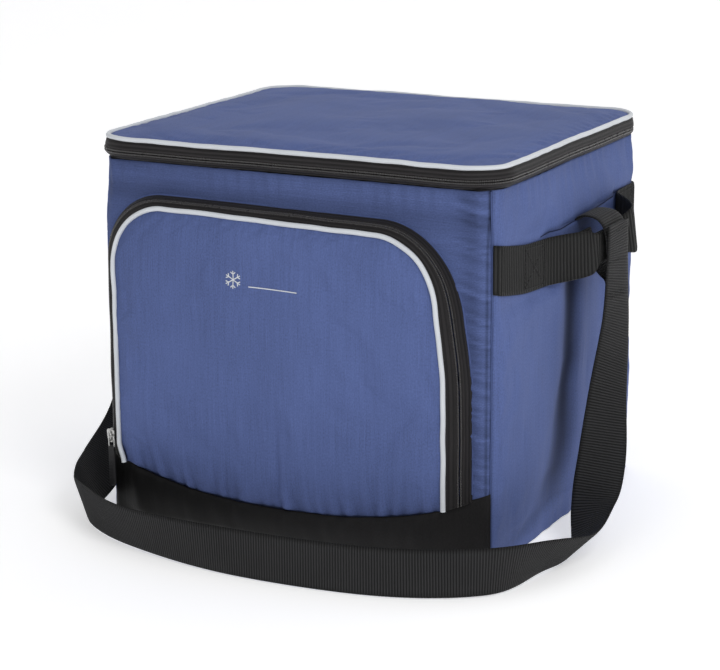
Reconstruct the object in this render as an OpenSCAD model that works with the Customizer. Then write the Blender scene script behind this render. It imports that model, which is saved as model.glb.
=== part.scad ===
// Soft-sided insulated cooler bag with a zipped lid, a zipped front pocket,
// two webbing grab handles and a shoulder strap. Millimetres, +Z up, front faces -Y.
// The origin is on the floor, under the middle of the bag.

/* [Body] */
// Width of the bag, left to right
body_w = 340; // [300:5:380]
// Depth of the bag, front to back
body_d = 290; // [250:5:330]
// Overall height, floor to the top of the lid's piping
total_h = 310; // [270:5:350]
// Radius of the upright corners
corner_r = 18; // [12:1:24]
// Thickness of the outer fabric
fabric_t = 1; // [0.6:0.1:1.4]
// Thickness of the foam in the walls and base
foam_t = 5; // [3:0.5:8]
// Thickness of the welded liner
liner_t = 0.8; // [0.5:0.1:1.2]
// Thickness of the stiffening board under the base foam
board_t = 2; // [1:0.5:3]

/* [Lid] */
// How far the lid's zip stands out past the walls
lid_overhang = 5; // [3:0.5:7]
// Corner radius of the lid, seen from above
lid_r = 30; // [25:1:36]
// Height of the zip band plus the piping above it
lid_band_h = 18.5; // [17:0.5:22]
// Diameter of the piping round the lid and the pocket
piping_d = 3.4; // [2.5:0.1:4.5]

/* [Pocket] */
// Width of the front pocket over its zip
pocket_w = 310; // [260:2:312]
// Height of the top of the pocket's zip above the floor
pocket_top = 267; // [240:1:270]
// Sideways offset of the pocket from the bag's middle
pocket_offset = -5; // [-5:1:5]
// Radius of the pocket's upper corners
pocket_r = 62; // [45:1:75]
// Depth of the pocket, front panel to pocket panel
pocket_depth = 16; // [14:0.5:22]
// Height of the black band along the bottom of the front
kick_h = 57; // [45:1:65]

/* [Webbing] */
// Width of the webbing
webbing_w = 38; // [30:1:40]
// Thickness of the webbing
webbing_t = 1.8; // [1.4:0.1:2.2]
// Height of the middle of the grab handles above the floor
handle_z = 222; // [200:1:235]
// Length of the grab handle's free span
handle_span = 124; // [100:2:140]
// How far the grab handle stands out from the wall
handle_bulge = 22; // [18:1:28]
// Where the shoulder strap hangs on the handle, behind the middle
strap_y = 15; // [5:1:20]
// How far in front of the bag's middle the strap lies on the floor
strap_reach = 243; // [230:1:260]

/* [Zips] */
// Length of a slider's plate
slider_l = 11; // [9:0.5:13]
// Width of a slider's plate
slider_w = 8.4; // [7:0.2:10]
// Length of the soft pull tab
tab_l = 34; // [20:1:35]

/* [Hidden] */
$fn = 64;

blue = "#5a6a9c";
black = "#26262a";
grey = "#d2d4d8";
foam_white = "#eef0f2";
silver = "#b9bcc2";

gap = 0.2;                                  // air between neighbouring layers
tape_t = 1.2;                               // zip tape
coil_t = 3;                                 // thickness of the lid's zip coil
coil_h = 1.6;                               // height of one row of a zip's coil
row_gap = 0.9;                              // between a zip's two rows, where the slider's post runs
lid_w = body_w + 2 * lid_overhang;
lid_d = body_d + 2 * lid_overhang;
wall_top = total_h - lid_band_h - gap;      // top edge of the fabric walls
zip_z = total_h - 12;                       // where the lid's two coils meet
floor_z = fabric_t + gap + board_t + gap;   // underside of the base foam
liner_z = floor_z + foam_t + gap;           // underside of the liner
foam_inset = fabric_t + gap;
liner_inset = foam_inset + foam_t + gap;
lid_inner = 9;                              // the lid's filling starts this far inside its band
zip_back = body_d / 2 - 22;                 // the lid's zip ends here on each side

front_y = -body_d / 2;
pocket_y = front_y - pocket_depth;          // outer face of the pocket panel
pocket_zip_y = front_y - 8.5;               // where the pocket's two coils meet
pocket_bottom = kick_h + 0.8;               // lower edge of the pocket's flap
flange = 8;                                 // flat edge of the outer tape on the front panel
zip_wall = flange - tape_t / 2;             // the pocket's two tapes stand this far inside its outline
piping_inset = 13;                          // pocket piping, in from the zip's outer edge

handle_x = body_w / 2 + fabric_t + gap;     // inner face of the handle's sewn ends
handle_end_y = handle_span / 2;
loop_slack = 7;                             // room in the strap's end loop outside the handle
loop_in = handle_x + webbing_t + 1;
loop_out = handle_x + handle_bulge + webbing_t + loop_slack;
strap_x = loop_out + webbing_t + 0.8;       // inner face of the strap where it meets the loop

slider_y = zip_back - 23;                   // the lid slider's place when the lid is closed
slider_z = kick_h + 9;                      // the pocket slider's place when the pocket is closed
pin_r = 0.9;
pin_h = 4.2;                                // pin above the zip's face
eye_r = 1;

// ---- plan shapes ----

module rounded_rect(w, d, r) {
    square([w - 2 * r, d], center = true);
    square([w, d - 2 * r], center = true);
    for (x = [-1, 1], y = [-1, 1])
        translate([x * (w / 2 - r), y * (d / 2 - r)]) circle(r);
}

module rounded_ring(w, d, r, t) {
    difference() {
        rounded_rect(w, d, r);
        rounded_rect(w - 2 * t, d - 2 * t, r - t);
    }
}

// The quarter of the plan that one wall owns. Its edges run through the corners at 45 degrees,
// half a gap short of the neighbouring wall. turn is 0 for the front, 90 right, 180 back, 270 left.
module wall_quarter(turn, margin = 20) {
    across = (turn % 180 == 0) ? body_w / 2 : body_d / 2;
    out = (turn % 180 == 0) ? body_d / 2 : body_w / 2;
    reach = across + margin;
    inside = across - 2 * corner_r;
    rotate(turn)
        polygon([
            [-reach + gap, -out - margin], [reach - gap, -out - margin],
            [inside - gap, -out + 2 * corner_r], [-inside + gap, -out + 2 * corner_r]
        ]);
}

module wall(turn, inset, t, z, h) {
    translate([0, 0, z])
        linear_extrude(h)
            intersection() {
                rounded_ring(body_w - 2 * inset, body_d - 2 * inset, corner_r - inset, t);
                wall_quarter(turn);
            }
}

module slab(inset, z, h) {
    translate([0, 0, z])
        linear_extrude(h)
            rounded_rect(body_w - 2 * inset, body_d - 2 * inset, corner_r - inset / 2);
}

module lid_slab(inset, z, h) {
    translate([0, 0, z])
        linear_extrude(h) rounded_rect(lid_w - 2 * inset, lid_d - 2 * inset, lid_r - inset);
}

module lid_ring(grow, t, z, h) {
    translate([0, 0, z])
        linear_extrude(h) rounded_ring(lid_w + 2 * grow, lid_d + 2 * grow, lid_r + grow, t);
}

// ---- walls, base and insulation ----

module outer_wall(turn) {
    color(blue) wall(turn, 0, fabric_t, 0.6, wall_top - 0.6);
}

module front_panel() { outer_wall(0); }
module side_panel_right() { outer_wall(90); }
module back_panel() { outer_wall(180); }
module side_panel_left() { outer_wall(270); }

module foam_wall(turn) {
    color(foam_white) wall(turn, foam_inset, foam_t, liner_z, wall_top - liner_z - 1);
}

module front_foam() { foam_wall(0); }
module side_foam_right() { foam_wall(90); }
module back_foam() { foam_wall(180); }
module side_foam_left() { foam_wall(270); }

module base_panel() { color(black) slab(foam_inset, 0, fabric_t); }
module base_board() { color(black) slab(foam_inset + 2, fabric_t + gap, board_t); }
module base_foam() { color(foam_white) slab(foam_inset, floor_z, foam_t); }

module liner_tub() {
    inner = liner_inset + liner_t;
    color(silver)
        difference() {
            slab(liner_inset, liner_z, wall_top - liner_z);
            slab(inner, liner_z + liner_t, wall_top);
        }
}

// Black band along the bottom of the front. It stands out like the pocket above it, and
// the band and the front panel enclose the bottom of the pocket.
module kick_band() {
    lip = 15;
    half = pocket_w / 2;
    x0 = pocket_offset;
    end_x = body_w / 2 - 0.6 * corner_r;
    back = front_y - gap;
    bulge = pocket_y;
    outline = [
        [-end_x, back], [x0 - half + lip, bulge], [x0 + half - lip, bulge], [end_x, back]
    ];
    color(black)
        translate([0, 0, 2]) {
            difference() {
                linear_extrude(kick_h - 2) polygon(outline);
                translate([0, 0, fabric_t])
                    linear_extrude(kick_h)
                        polygon([
                            [outline[0].x + 6, back + 1], [outline[1].x + fabric_t, bulge + fabric_t],
                            [outline[2].x - fabric_t, bulge + fabric_t], [outline[3].x - 6, back + 1]
                        ]);
            }
        }
}

// ---- lid and its zip ----

// The lower tape lies on top of the walls and stands up along its outer edge.
module lid_zip_tape_lower() {
    low = wall_top + gap;
    color(black) {
        lid_ring(0, lid_overhang + 7, low, tape_t);
        lid_ring(0, tape_t, low, zip_z - coil_h - row_gap / 2 - gap - low);
    }
}

// The upper tape hangs from the underside of the piping and the lid's top.
module lid_zip_tape_upper() {
    low = zip_z + coil_h + row_gap / 2 + gap;
    high = total_h - piping_d - gap;
    color(black) {
        lid_ring(0, lid_inner - 1, high - tape_t, tape_t);
        lid_ring(0, tape_t, low, high - low);
    }
}

module lid_coil(z) {
    color(black)
        intersection() {
            lid_ring(1, coil_t, z, coil_h);
            translate([-lid_w, -lid_d, z - 1]) cube([2 * lid_w, lid_d + zip_back, coil_h + 2]);
        }
}

module lid_zip_coil_lower() { lid_coil(zip_z - coil_h - row_gap / 2); }
module lid_zip_coil_upper() { lid_coil(zip_z + row_gap / 2); }

// Narrow fabric strip that the lid folds on, along the back.
module lid_hinge_tape() {
    color(black)
        translate([-lid_w / 2 + lid_r, lid_d / 2 - tape_t, zip_z - coil_h - row_gap / 2])
            cube([lid_w - 2 * lid_r, tape_t, 2 * coil_h + row_gap]);
}

module lid_panel() { color(blue) lid_slab(piping_d + gap, total_h - 2.2, 1.2); }
module lid_foam() { color(foam_white) lid_slab(lid_inner, zip_z + 3, total_h - 2.4 - zip_z - 3); }
module lid_liner() { color(silver) lid_slab(lid_inner, zip_z + 2, liner_t); }

// Round cord that runs straight along the sides of a rounded rectangle and bends at its corners.
module lid_piping() {
    r = piping_d / 2;
    bend = lid_r - r;
    sx = lid_w / 2 - lid_r;
    sy = lid_d / 2 - lid_r;
    color(grey)
        translate([0, 0, total_h - r]) {
            for (k = [0:3])
                translate([(k == 0 || k == 3 ? 1 : -1) * sx, (k < 2 ? 1 : -1) * sy, 0])
                    rotate(90 * k)
                        rotate_extrude(angle = 90) translate([bend, 0]) circle(r, $fn = 24);
            for (s = [-1, 1]) {
                translate([-sx, s * (sy + bend), 0]) rotate([0, 90, 0]) cylinder(h = 2 * sx, r = r, $fn = 24);
                translate([s * (sx + bend), -sy, 0]) rotate([-90, 0, 0]) cylinder(h = 2 * sy, r = r, $fn = 24);
            }
        }
}

// ---- front pocket ----

// Upright U seen from the front: straight sides, round upper corners, flat bottom.
module pocket_outline(inset) {
    half = pocket_w / 2 - inset;
    r = pocket_r - inset;
    top = pocket_top - inset;
    translate([pocket_offset, 0]) {
        translate([-half, pocket_bottom]) square([2 * half, top - r - pocket_bottom]);
        translate([-half + r, pocket_bottom]) square([2 * (half - r), top - pocket_bottom]);
        for (s = [-1, 1]) translate([s * (half - r), top - r]) circle(r);
    }
}

// Ring or plate that follows the pocket's outline, from y_front back to y_back.
module pocket_layer(inset, y_front, y_back, t = 0) {
    translate([0, y_back, 0])
        rotate([90, 0, 0])
            linear_extrude(y_back - y_front)
                difference() {
                    pocket_outline(inset);
                    if (t > 0) translate([0, -1]) pocket_cut(inset + t);
                }
}

// The same outline, run past the bottom so that it cuts a ring open there.
module pocket_cut(inset) {
    pocket_outline(inset);
    half = pocket_w / 2 - inset;
    translate([pocket_offset - half, pocket_bottom - 5]) square([2 * half, 20]);
    translate([0, 1]) pocket_outline(inset);
}

// Each tape is a wall along the zip with a flat flange, on the front panel or behind the piping.
module pocket_zip_tape_outer() {
    color(black) {
        pocket_layer(0, front_y - gap - tape_t, front_y - gap, flange);
        pocket_layer(zip_wall, pocket_zip_y + row_gap / 2 + coil_h + gap, front_y - gap, tape_t);
    }
}

module pocket_zip_tape_inner() {
    y = pocket_y + 1.4;
    color(black) {
        pocket_layer(zip_wall, y, pocket_zip_y - row_gap / 2 - coil_h - gap, tape_t);
        pocket_layer(zip_wall, y, y + tape_t, piping_inset - zip_wall + piping_d);
    }
}

module pocket_coil(y) { color(black) pocket_layer(flange - 1, y - coil_h / 2, y + coil_h / 2, 2); }
module pocket_zip_coil_outer() { pocket_coil(pocket_zip_y + (row_gap + coil_h) / 2); }
module pocket_zip_coil_inner() { pocket_coil(pocket_zip_y - (row_gap + coil_h) / 2); }

module pocket_panel() { color(blue) pocket_layer(piping_inset + piping_d / 2 + gap, pocket_y, pocket_y + 1.2); }
module pocket_lining() { color(black) pocket_layer(piping_inset, pocket_y + 3.8, pocket_y + 4.6); }

// The cord sits in front of the inner tape and beside the panel.
module pocket_piping() {
    r = piping_d / 2;
    half = pocket_w / 2 - piping_inset;
    bend = pocket_r - piping_inset;
    top = pocket_top - piping_inset;
    spring = top - bend;
    color(grey)
        translate([pocket_offset, pocket_y + 1.2 - gap - r, 0]) {
            for (s = [0, 1])
                mirror([s, 0, 0]) {
                    translate([half, 0, pocket_bottom]) cylinder(h = spring - pocket_bottom, r = r, $fn = 24);
                    translate([half - bend, 0, spring])
                        rotate([90, 0, 0])
                            rotate_extrude(angle = 90) translate([bend, 0]) circle(r, $fn = 24);
                }
            translate([-half + bend, 0, top]) rotate([0, 90, 0]) cylinder(h = 2 * (half - bend), r = r, $fn = 24);
        }
}

// ---- zip sliders: travel along X, face up +Z, zip face at z = 0 ----

// The front plate carries the pin. A thin post at the nose joins it to the back plate.
module slider_body(depth) {
    front = 0.3;
    color(silver) {
        translate([-slider_l / 2, -slider_w / 2, front]) cube([slider_l, slider_w, 1.2]);
        translate([-slider_l / 2, -slider_w / 2, -depth - front - 1]) cube([slider_l, slider_w, 1]);
        translate([slider_l / 2 - 2.5, -0.3, -depth - front - 0.5]) cube([2, 0.6, depth + 2 * front + 1]);
        for (s = [-1, 1])
            translate([-2, s * 2.8 - 0.6, front + 0.8]) cube([4, 1.2, pin_h]);
        translate([0, 3.2, pin_h]) rotate([90, 0, 0]) cylinder(h = 6.4, r = pin_r);
    }
}

// Metal eye round the slider's pin, and the short bar that the soft tab is moulded on.
module pull_ring() {
    color(silver)
        translate([0, 0, pin_h])
            difference() {
                union() {
                    translate([0, 1.8, 0]) rotate([90, 0, 0]) cylinder(h = 3.6, r = 1.9);
                    translate([0, -1.8, -0.7]) cube([10, 3.6, 1.4]);
                }
                translate([0, 3, 0]) rotate([90, 0, 0]) cylinder(h = 6, r = eye_r);
            }
}

module pull_tab() {
    color(black)
        translate([8, -3, pin_h - 1.3])
            difference() {
                cube([tab_l, 6, 2.6]);
                translate([-1, 3 - 1.9, 1.3 - 0.8]) cube([4, 3.8, 1.6]);
            }
}

// Left side of the lid's zip: the slider faces -X and its pull points to the back.
module on_lid_zip() {
    translate([-lid_w / 2 - 1, slider_y, zip_z])
        rotate([0, -90, 0]) rotate([0, 0, 90]) children();
}

// Left upright of the pocket's zip: the slider faces -X and its pull hangs down.
module on_pocket_zip() {
    translate([pocket_offset - pocket_w / 2 + flange - 1, pocket_zip_y, slider_z])
        rotate([0, -90, 0]) rotate([0, 0, 180]) children();
}

module lid_slider() { on_lid_zip() slider_body(coil_t); }
module lid_pull_ring() { on_lid_zip() pull_ring(); }
module lid_pull_tab() { on_lid_zip() pull_tab(); }
module pocket_slider() { on_pocket_zip() slider_body(2); }
module pocket_pull_ring() { on_pocket_zip() pull_ring(); }
module pocket_pull_tab() { on_pocket_zip() pull_tab(); }

// ---- grab handles ----

module on_side(s) { mirror([s < 0 ? 1 : 0, 0, 0]) children(); }

// One sewn end of a handle, wrapped from the side wall into the corner seam. f is -1 in front.
module handle_end(s, f) {
    stand = gap + webbing_t;
    color(black)
        on_side(s)
            translate([0, 0, handle_z - webbing_w / 2])
                linear_extrude(webbing_w)
                    intersection() {
                        rounded_ring(body_w + 2 * stand, body_d + 2 * stand, corner_r + stand, webbing_t);
                        wall_quarter(90);
                        translate([body_w / 2, f * body_d]) square([2 * body_w, 2 * body_d - handle_span], center = true);
                    }
}

// Distance of the free span from its sewn ends at y: flat at the middle, rounded into both ends.
function bulge_at(y) =
    let (u = 1 - abs(y) / handle_end_y, v = min(1, u / 0.55))
    handle_bulge * (1 - cos(180 * v)) / 2;

module handle_loop(s) {
    steps = 40;
    ys = [for (i = [0:steps]) (2 * i / steps - 1) * (handle_end_y - gap)];
    inner = [for (y = ys) [handle_x + bulge_at(y), y]];
    outer = [for (i = [steps:-1:0]) [handle_x + webbing_t + bulge_at(ys[i]), ys[i]]];
    color(black)
        on_side(s)
            translate([0, 0, handle_z - webbing_w / 2])
                linear_extrude(webbing_w) polygon(concat(inner, outer));
}

module handle_end_front_left() { handle_end(-1, -1); }
module handle_end_rear_left() { handle_end(-1, 1); }
module handle_end_front_right() { handle_end(1, -1); }
module handle_end_rear_right() { handle_end(1, 1); }
module handle_loop_left() { handle_loop(-1); }
module handle_loop_right() { handle_loop(1); }

// ---- shoulder strap ----

// End of the strap, sewn into a closed loop round the handle.
module strap_loop(s) {
    w = loop_out - loop_in;
    h = webbing_w + 12;
    color(black)
        on_side(s)
            translate([(loop_in + loop_out) / 2, strap_y + webbing_w / 2, handle_z + 1])
                rotate([90, 0, 0])
                    linear_extrude(webbing_w)
                        difference() {
                            rounded_rect(w + 2 * webbing_t, h + 2 * webbing_t, 8);
                            rounded_rect(w, h, 8 - webbing_t);
                        }
}

module strap_loop_left() { strap_loop(-1); }
module strap_loop_right() { strap_loop(1); }

// The strap is a ribbon. Each stop along it is [middle, direction from its first edge to its second].
// It hangs from the right handle, turns forward near the floor, stands on edge across the front
// and climbs back to the left handle.
on_floor = webbing_w / 2 + 0.4;
half_w = body_w / 2;
mid_x = strap_x + webbing_t / 2;
strap_stops = [
    [[mid_x, strap_y, handle_z + 20], [0, 1, 0]],
    [[mid_x, strap_y, handle_z - 12], [0, 1, 0]],
    [[mid_x + 4.5, 2, 164], [0.2, 1, 0]],
    [[mid_x + 9, -24, 112], [0.5, 0.9, 0]],
    [[mid_x + 13, -44, 68], [0.86, 0.55, 0]],
    [[mid_x + 15, -66, 36], [0.84, 0.14, 0.33]],
    [[mid_x + 20, -100, 15.3], [0.7, -0.27, 0.66]],
    [[half_w + 46, -147, 18.6], [0.42, -0.28, 0.82]],
    [[half_w + 20, -200, 20], [0.06, -0.06, 1]],
    [[half_w - 55, -234, on_floor], [0, 0, 1]],
    [[0, -strap_reach, on_floor], [0, 0, 1]],
    [[-half_w + 70, -229, on_floor], [0, 0, 1]],
    [[-half_w + 10, -197, on_floor], [-0.03, -0.02, 1]],
    [[-half_w - 10, -171, 20.2], [-0.25, -0.4, 0.88]],
    [[-half_w - 17, -130, 33], [-0.78, -0.3, 0.55]],
    [[-half_w - 24, -72, 66], [-0.7, -0.55, 0.5]],
    [[-mid_x - 6, -22, 140], [-0.2, -0.9, 0.35]],
    [[-mid_x, strap_y, handle_z - 12], [0, -1, 0]],
    [[-mid_x, strap_y, handle_z + 20], [0, -1, 0]]
];

// Smooth curve through the stops (Catmull-Rom), at i whole stops plus a share t.
function along(list, i, t) =
    let (
        n = len(list) - 1,
        p0 = list[max(i - 1, 0)], p1 = list[i],
        p2 = list[min(i + 1, n)], p3 = list[min(i + 2, n)]
    )
    0.5 * (2 * p1 + (p2 - p0) * t + (2 * p0 - 5 * p1 + 4 * p2 - p3) * t * t
        + (3 * p1 - p0 - 3 * p2 + p3) * t * t * t);

function unit(v) = v / norm(v);

module shoulder_strap() {
    per_stop = 5;
    last = len(strap_stops) - 1;
    middles = [for (s = strap_stops) s[0]];
    edges = [for (s = strap_stops) unit(s[1])];
    count = last * per_stop;
    at = [for (k = [0:count]) let (i = min(floor(k / per_stop), last - 1)) [i, k / per_stop - i]];
    c = [for (a = at) along(middles, a[0], a[1])];
    run = [for (k = [0:count]) unit(c[min(k + 1, count)] - c[max(k - 1, 0)])];
    w = [for (k = [0:count])
        let (e = along(edges, at[k][0], at[k][1])) unit(e - (e * run[k]) * run[k])];
    n = [for (k = [0:count]) cross(run[k], w[k])];
    points = [for (k = [0:count], q = [[-1, -1], [1, -1], [1, 1], [-1, 1]])
        c[k] + w[k] * q[0] * webbing_w / 2 + n[k] * q[1] * webbing_t / 2];
    sides = [for (k = [0:count - 1], j = [0:3])
        let (a = 4 * k + j, b = 4 * k + (j + 1) % 4, d = a + 4, e = b + 4)
        each [[a, e, b], [a, d, e]]];
    color(black)
        polyhedron(points, concat([[0, 1, 2], [0, 2, 3]], sides,
            [[4 * count + 2, 4 * count + 1, 4 * count], [4 * count + 3, 4 * count + 2, 4 * count]]));
}

front_panel();
back_panel();
side_panel_left();
side_panel_right();
base_panel();
kick_band();
base_board();
base_foam();
front_foam();
back_foam();
side_foam_left();
side_foam_right();
liner_tub();
lid_zip_tape_lower();
lid_zip_coil_lower();
lid_hinge_tape();
pocket_zip_tape_outer();
pocket_zip_coil_outer();
handle_end_front_left();
handle_end_rear_left();
handle_end_front_right();
handle_end_rear_right();
lid_panel();
lid_foam();
lid_liner();
lid_piping();
lid_zip_tape_upper();
lid_zip_coil_upper();
lid_slider();
lid_pull_ring();
lid_pull_tab();
pocket_panel();
pocket_lining();
pocket_piping();
pocket_zip_tape_inner();
pocket_zip_coil_inner();
pocket_slider();
pocket_pull_ring();
pocket_pull_tab();
handle_loop_left();
handle_loop_right();
strap_loop_left();
strap_loop_right();
shoulder_strap();
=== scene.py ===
"""Blender scene of a soft insulated cooler bag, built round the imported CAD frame.

Lengths in this script are millimetres in the frame's axes: +X right, +Y back, +Z up, floor at z = 0.
"""

import math

import bpy
import numpy as np
from mathutils import Matrix, Vector


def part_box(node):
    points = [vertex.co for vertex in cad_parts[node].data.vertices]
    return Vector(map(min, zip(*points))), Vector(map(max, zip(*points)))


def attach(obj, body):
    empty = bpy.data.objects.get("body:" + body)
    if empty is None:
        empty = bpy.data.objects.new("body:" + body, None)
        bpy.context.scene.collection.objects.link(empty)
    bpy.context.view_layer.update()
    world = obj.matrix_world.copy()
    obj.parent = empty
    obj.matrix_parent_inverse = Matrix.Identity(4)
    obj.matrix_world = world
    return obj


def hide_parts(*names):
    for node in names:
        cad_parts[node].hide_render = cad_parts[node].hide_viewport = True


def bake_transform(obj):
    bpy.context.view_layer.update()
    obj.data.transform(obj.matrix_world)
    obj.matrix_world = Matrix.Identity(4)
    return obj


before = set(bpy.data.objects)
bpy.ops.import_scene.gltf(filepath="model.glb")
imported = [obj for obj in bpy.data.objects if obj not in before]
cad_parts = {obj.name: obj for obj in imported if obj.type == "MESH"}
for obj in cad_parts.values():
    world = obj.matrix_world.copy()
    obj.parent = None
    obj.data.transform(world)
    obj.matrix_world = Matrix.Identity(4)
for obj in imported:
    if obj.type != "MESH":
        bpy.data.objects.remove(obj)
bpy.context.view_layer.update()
MM = 0.001


def box(node):
    low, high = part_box(node)
    return np.array(low) / MM, np.array(high) / MM


# ---------------------------------------------------------------- sizes from the frame

HX = box("side_panel_right")[1][0]  # half the body's width
HY = box("back_panel")[1][1]  # half the body's depth
WALL_TOP = box("front_panel")[1][2]
LID_HX = box("lid_zip_tape_upper")[1][0]
LID_HY = box("lid_zip_tape_upper")[1][1]
TOP = box("lid_piping")[1][2]
ZIP_Z = (box("lid_zip_coil_lower")[1][2] + box("lid_zip_coil_upper")[0][2]) / 2
LID_R = 30.0  # radius of the lid's corners
SEWN_R = 9.0  # radius of the walls' sewn corners
PIPE_R = (box("lid_piping")[1][2] - box("lid_piping")[0][2]) / 2
COIL_BACK = box("lid_zip_coil_lower")[1][1]  # the lid's zip ends here on each side

PK_LOW, PK_HIGH = box("pocket_zip_tape_outer")
PK_X = (PK_LOW[0] + PK_HIGH[0]) / 2  # middle of the pocket
PK_HALF = (PK_HIGH[0] - PK_LOW[0]) / 2
PK_TOP = PK_HIGH[2]
PK_DEPTH = -box("pocket_panel")[0][1] - HY
KICK_SEAM = box("kick_band")[1][2]  # the black band's top at the corner seams
KICK_MIDDLE = 27  # and where it is lowest
FOOT = 0.6  # how far above the floor the cloth starts

HANDLE_LOW, HANDLE_HIGH = box("handle_loop_right")
HANDLE_Z = (HANDLE_LOW[2] + HANDLE_HIGH[2]) / 2
WEB = HANDLE_HIGH[2] - HANDLE_LOW[2]
LOOP_LOW, LOOP_HIGH = box("strap_loop_right")
STRAP_Y = (LOOP_LOW[1] + LOOP_HIGH[1]) / 2
STRAP_RIB, GRIP_RIB = 2.15, 3.3  # pitch of the webbing's ribs
WEAVE = 0.8  # pitch of the cloth's weave

# ---------------------------------------------------------------- small maths helpers


def ease(a, b, x):
    """0 before a, 1 after b, smooth between."""
    t = np.clip((np.asarray(x, float) - a) / (b - a), 0, 1)
    return t * t * (3 - 2 * t)


def bump(x, middle, width):
    return np.exp(-(((np.asarray(x, float) - middle) / width) ** 2))


def waves(points, seed, size, count=8):
    """Smooth random field, about -1.5 to 1.5, over points (..., k), with features about size mm long."""
    rng = np.random.default_rng(seed)
    points = np.asarray(points, float)
    total = np.zeros(points.shape[:-1])
    for _ in range(count):
        d = rng.normal(size=points.shape[-1])
        d /= np.linalg.norm(d)
        total += np.sin(points @ d * (2 * np.pi / size) * rng.uniform(0.6, 1.6) + rng.uniform(0, 6.28))
    return total / math.sqrt(count) * 1.2


def stack(*columns):
    return np.stack(np.broadcast_arrays(*columns), -1)


def raised(xy, z):
    """Points in plan given their heights."""
    return stack(xy[..., 0], xy[..., 1], z)


def rounded(x, power):
    """A sine or cosine made blunter, for shapes between a circle and a square."""
    return np.sign(x) * np.abs(x) ** power


def unit(v):
    """Vectors (..., k) brought to length 1."""
    return v / np.maximum(np.linalg.norm(v, axis=-1), 1e-9)[..., None]


def circle(count):
    return np.arange(count) * 2 * np.pi / count


def distances(points):
    """How far along a line each of its points is."""
    return np.concatenate([[0], np.cumsum(np.linalg.norm(np.diff(points, axis=0), axis=1))])


def read(at, s, values):
    """Rows of values that are known at the distances s, read at other distances."""
    return np.stack([np.interp(at, s, column) for column in np.transpose(values)], -1)


def nearest(path, targets):
    """Index of the point of a path that is nearest to each target."""
    return [int(np.argmin(np.linalg.norm(path - np.array(t), axis=1))) for t in targets]


def sewn_corner(y, half, most=8.5):
    """How far a wall's surface has fallen back where it turns its corner."""
    over = np.clip(np.abs(y) - (half - SEWN_R), 0, most)
    return np.sqrt(SEWN_R**2 - over**2) - SEWN_R


# ---------------------------------------------------------------- mesh helpers


def mesh_piece(name, verts, faces, uvs=None, smooth=True):
    mesh = bpy.data.meshes.new(name)
    mesh.from_pydata((np.asarray(verts, float) * MM).tolist(), [], [tuple(map(int, f)) for f in faces])
    if uvs is not None:
        layer = mesh.uv_layers.new(name="UVMap")
        layer.data.foreach_set("uv", np.asarray(uvs, np.float32).ravel())
    mesh.polygons.foreach_set("use_smooth", [smooth] * len(mesh.polygons))
    mesh.update()
    obj = bpy.data.objects.new(name, mesh)
    bpy.context.scene.collection.objects.link(obj)
    return obj


def grid_data(p, loop_u=False, loop_v=False, caps=False):
    """Vertices, faces and UVs (in metres along the surface) of a grid of points p[u, v]."""
    n, m = p.shape[:2]
    pu = np.concatenate([p, p[:1]]) if loop_u else p
    pv = np.concatenate([p, p[:, :1]], 1) if loop_v else p
    u_len = distances(pu.mean(1))
    v_len = np.concatenate([[0], np.cumsum(np.linalg.norm(np.diff(pv, axis=1), axis=2).mean(0))])
    index = np.arange(n * m).reshape(n, m)
    i, j = np.meshgrid(np.arange(n if loop_u else n - 1), np.arange(m if loop_v else m - 1), indexing="ij")
    i, j = i.ravel(), j.ravel()
    corners = [(i, j), (i + 1, j), (i + 1, j + 1), (i, j + 1)]
    faces = np.stack([index[a % n, b % m] for a, b in corners], -1).tolist()
    uvs = np.stack([stack(u_len[a], v_len[b]) for a, b in corners], 1).reshape(-1, 2) * MM
    if caps:
        faces += [index[0][::-1].tolist(), index[-1].tolist()]
        uvs = np.concatenate([uvs, np.zeros((2 * m, 2))])
    return p.reshape(-1, 3), faces, uvs


def grid_piece(name, p, **kinds):
    return mesh_piece(name, *grid_data(np.asarray(p, float), **kinds))


def merged(name, parts):
    """One mesh piece from several (verts, faces, uvs)."""
    verts, faces, uvs, base = [], [], [], 0
    for v, f, u in parts:
        verts.append(v)
        faces += [[k + base for k in face] for face in f]
        uvs.append(u)
        base += len(v)
    return mesh_piece(name, np.concatenate(verts), faces, np.concatenate(uvs))


def rod(name, points, radius, count=8):
    """A round rod along 3D points, closed at its ends."""
    return grid_piece(name, tube(points, radius, count), loop_v=True, caps=True)


def coordinates(obj):
    """The vertices of a mesh object, in mm."""
    co = np.zeros(len(obj.data.vertices) * 3, np.float32)
    obj.data.vertices.foreach_get("co", co)
    return co.reshape(-1, 3).astype(float) / MM


def thick(obj, mm, inward=True):
    """Gives a cloth sheet its thickness. Its faces point outward, and it grows inward or both ways."""
    solid = obj.modifiers.new("thickness", "SOLIDIFY")
    solid.thickness = mm * MM
    solid.offset = -1 if inward else 0
    solid.use_even_offset = False
    return obj


def place(obj, body, material, replaces=()):
    obj.data.materials.append(material)
    if isinstance(body, str):
        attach(obj, body)
    else:
        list(body)
        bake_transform(obj)
    if replaces:
        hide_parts(*replaces)
    return obj


def shade(obj, values):
    """Painted shade at each vertex, 0 to 1, for the shade in folds, seams, grooves and under overhangs, and on
    webbing edges. Materials darken by it.
    """
    attribute = obj.data.attributes.new("shade", "FLOAT", "POINT")
    attribute.data.foreach_set("value", np.clip(values, 0, 0.9).astype(np.float32).ravel())
    return obj


# ---------------------------------------------------------------- paths and sweeps

CORNERS = ((-1, -1), (1, -1), (1, 1), (-1, 1))  # anticlockwise from the front left


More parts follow.
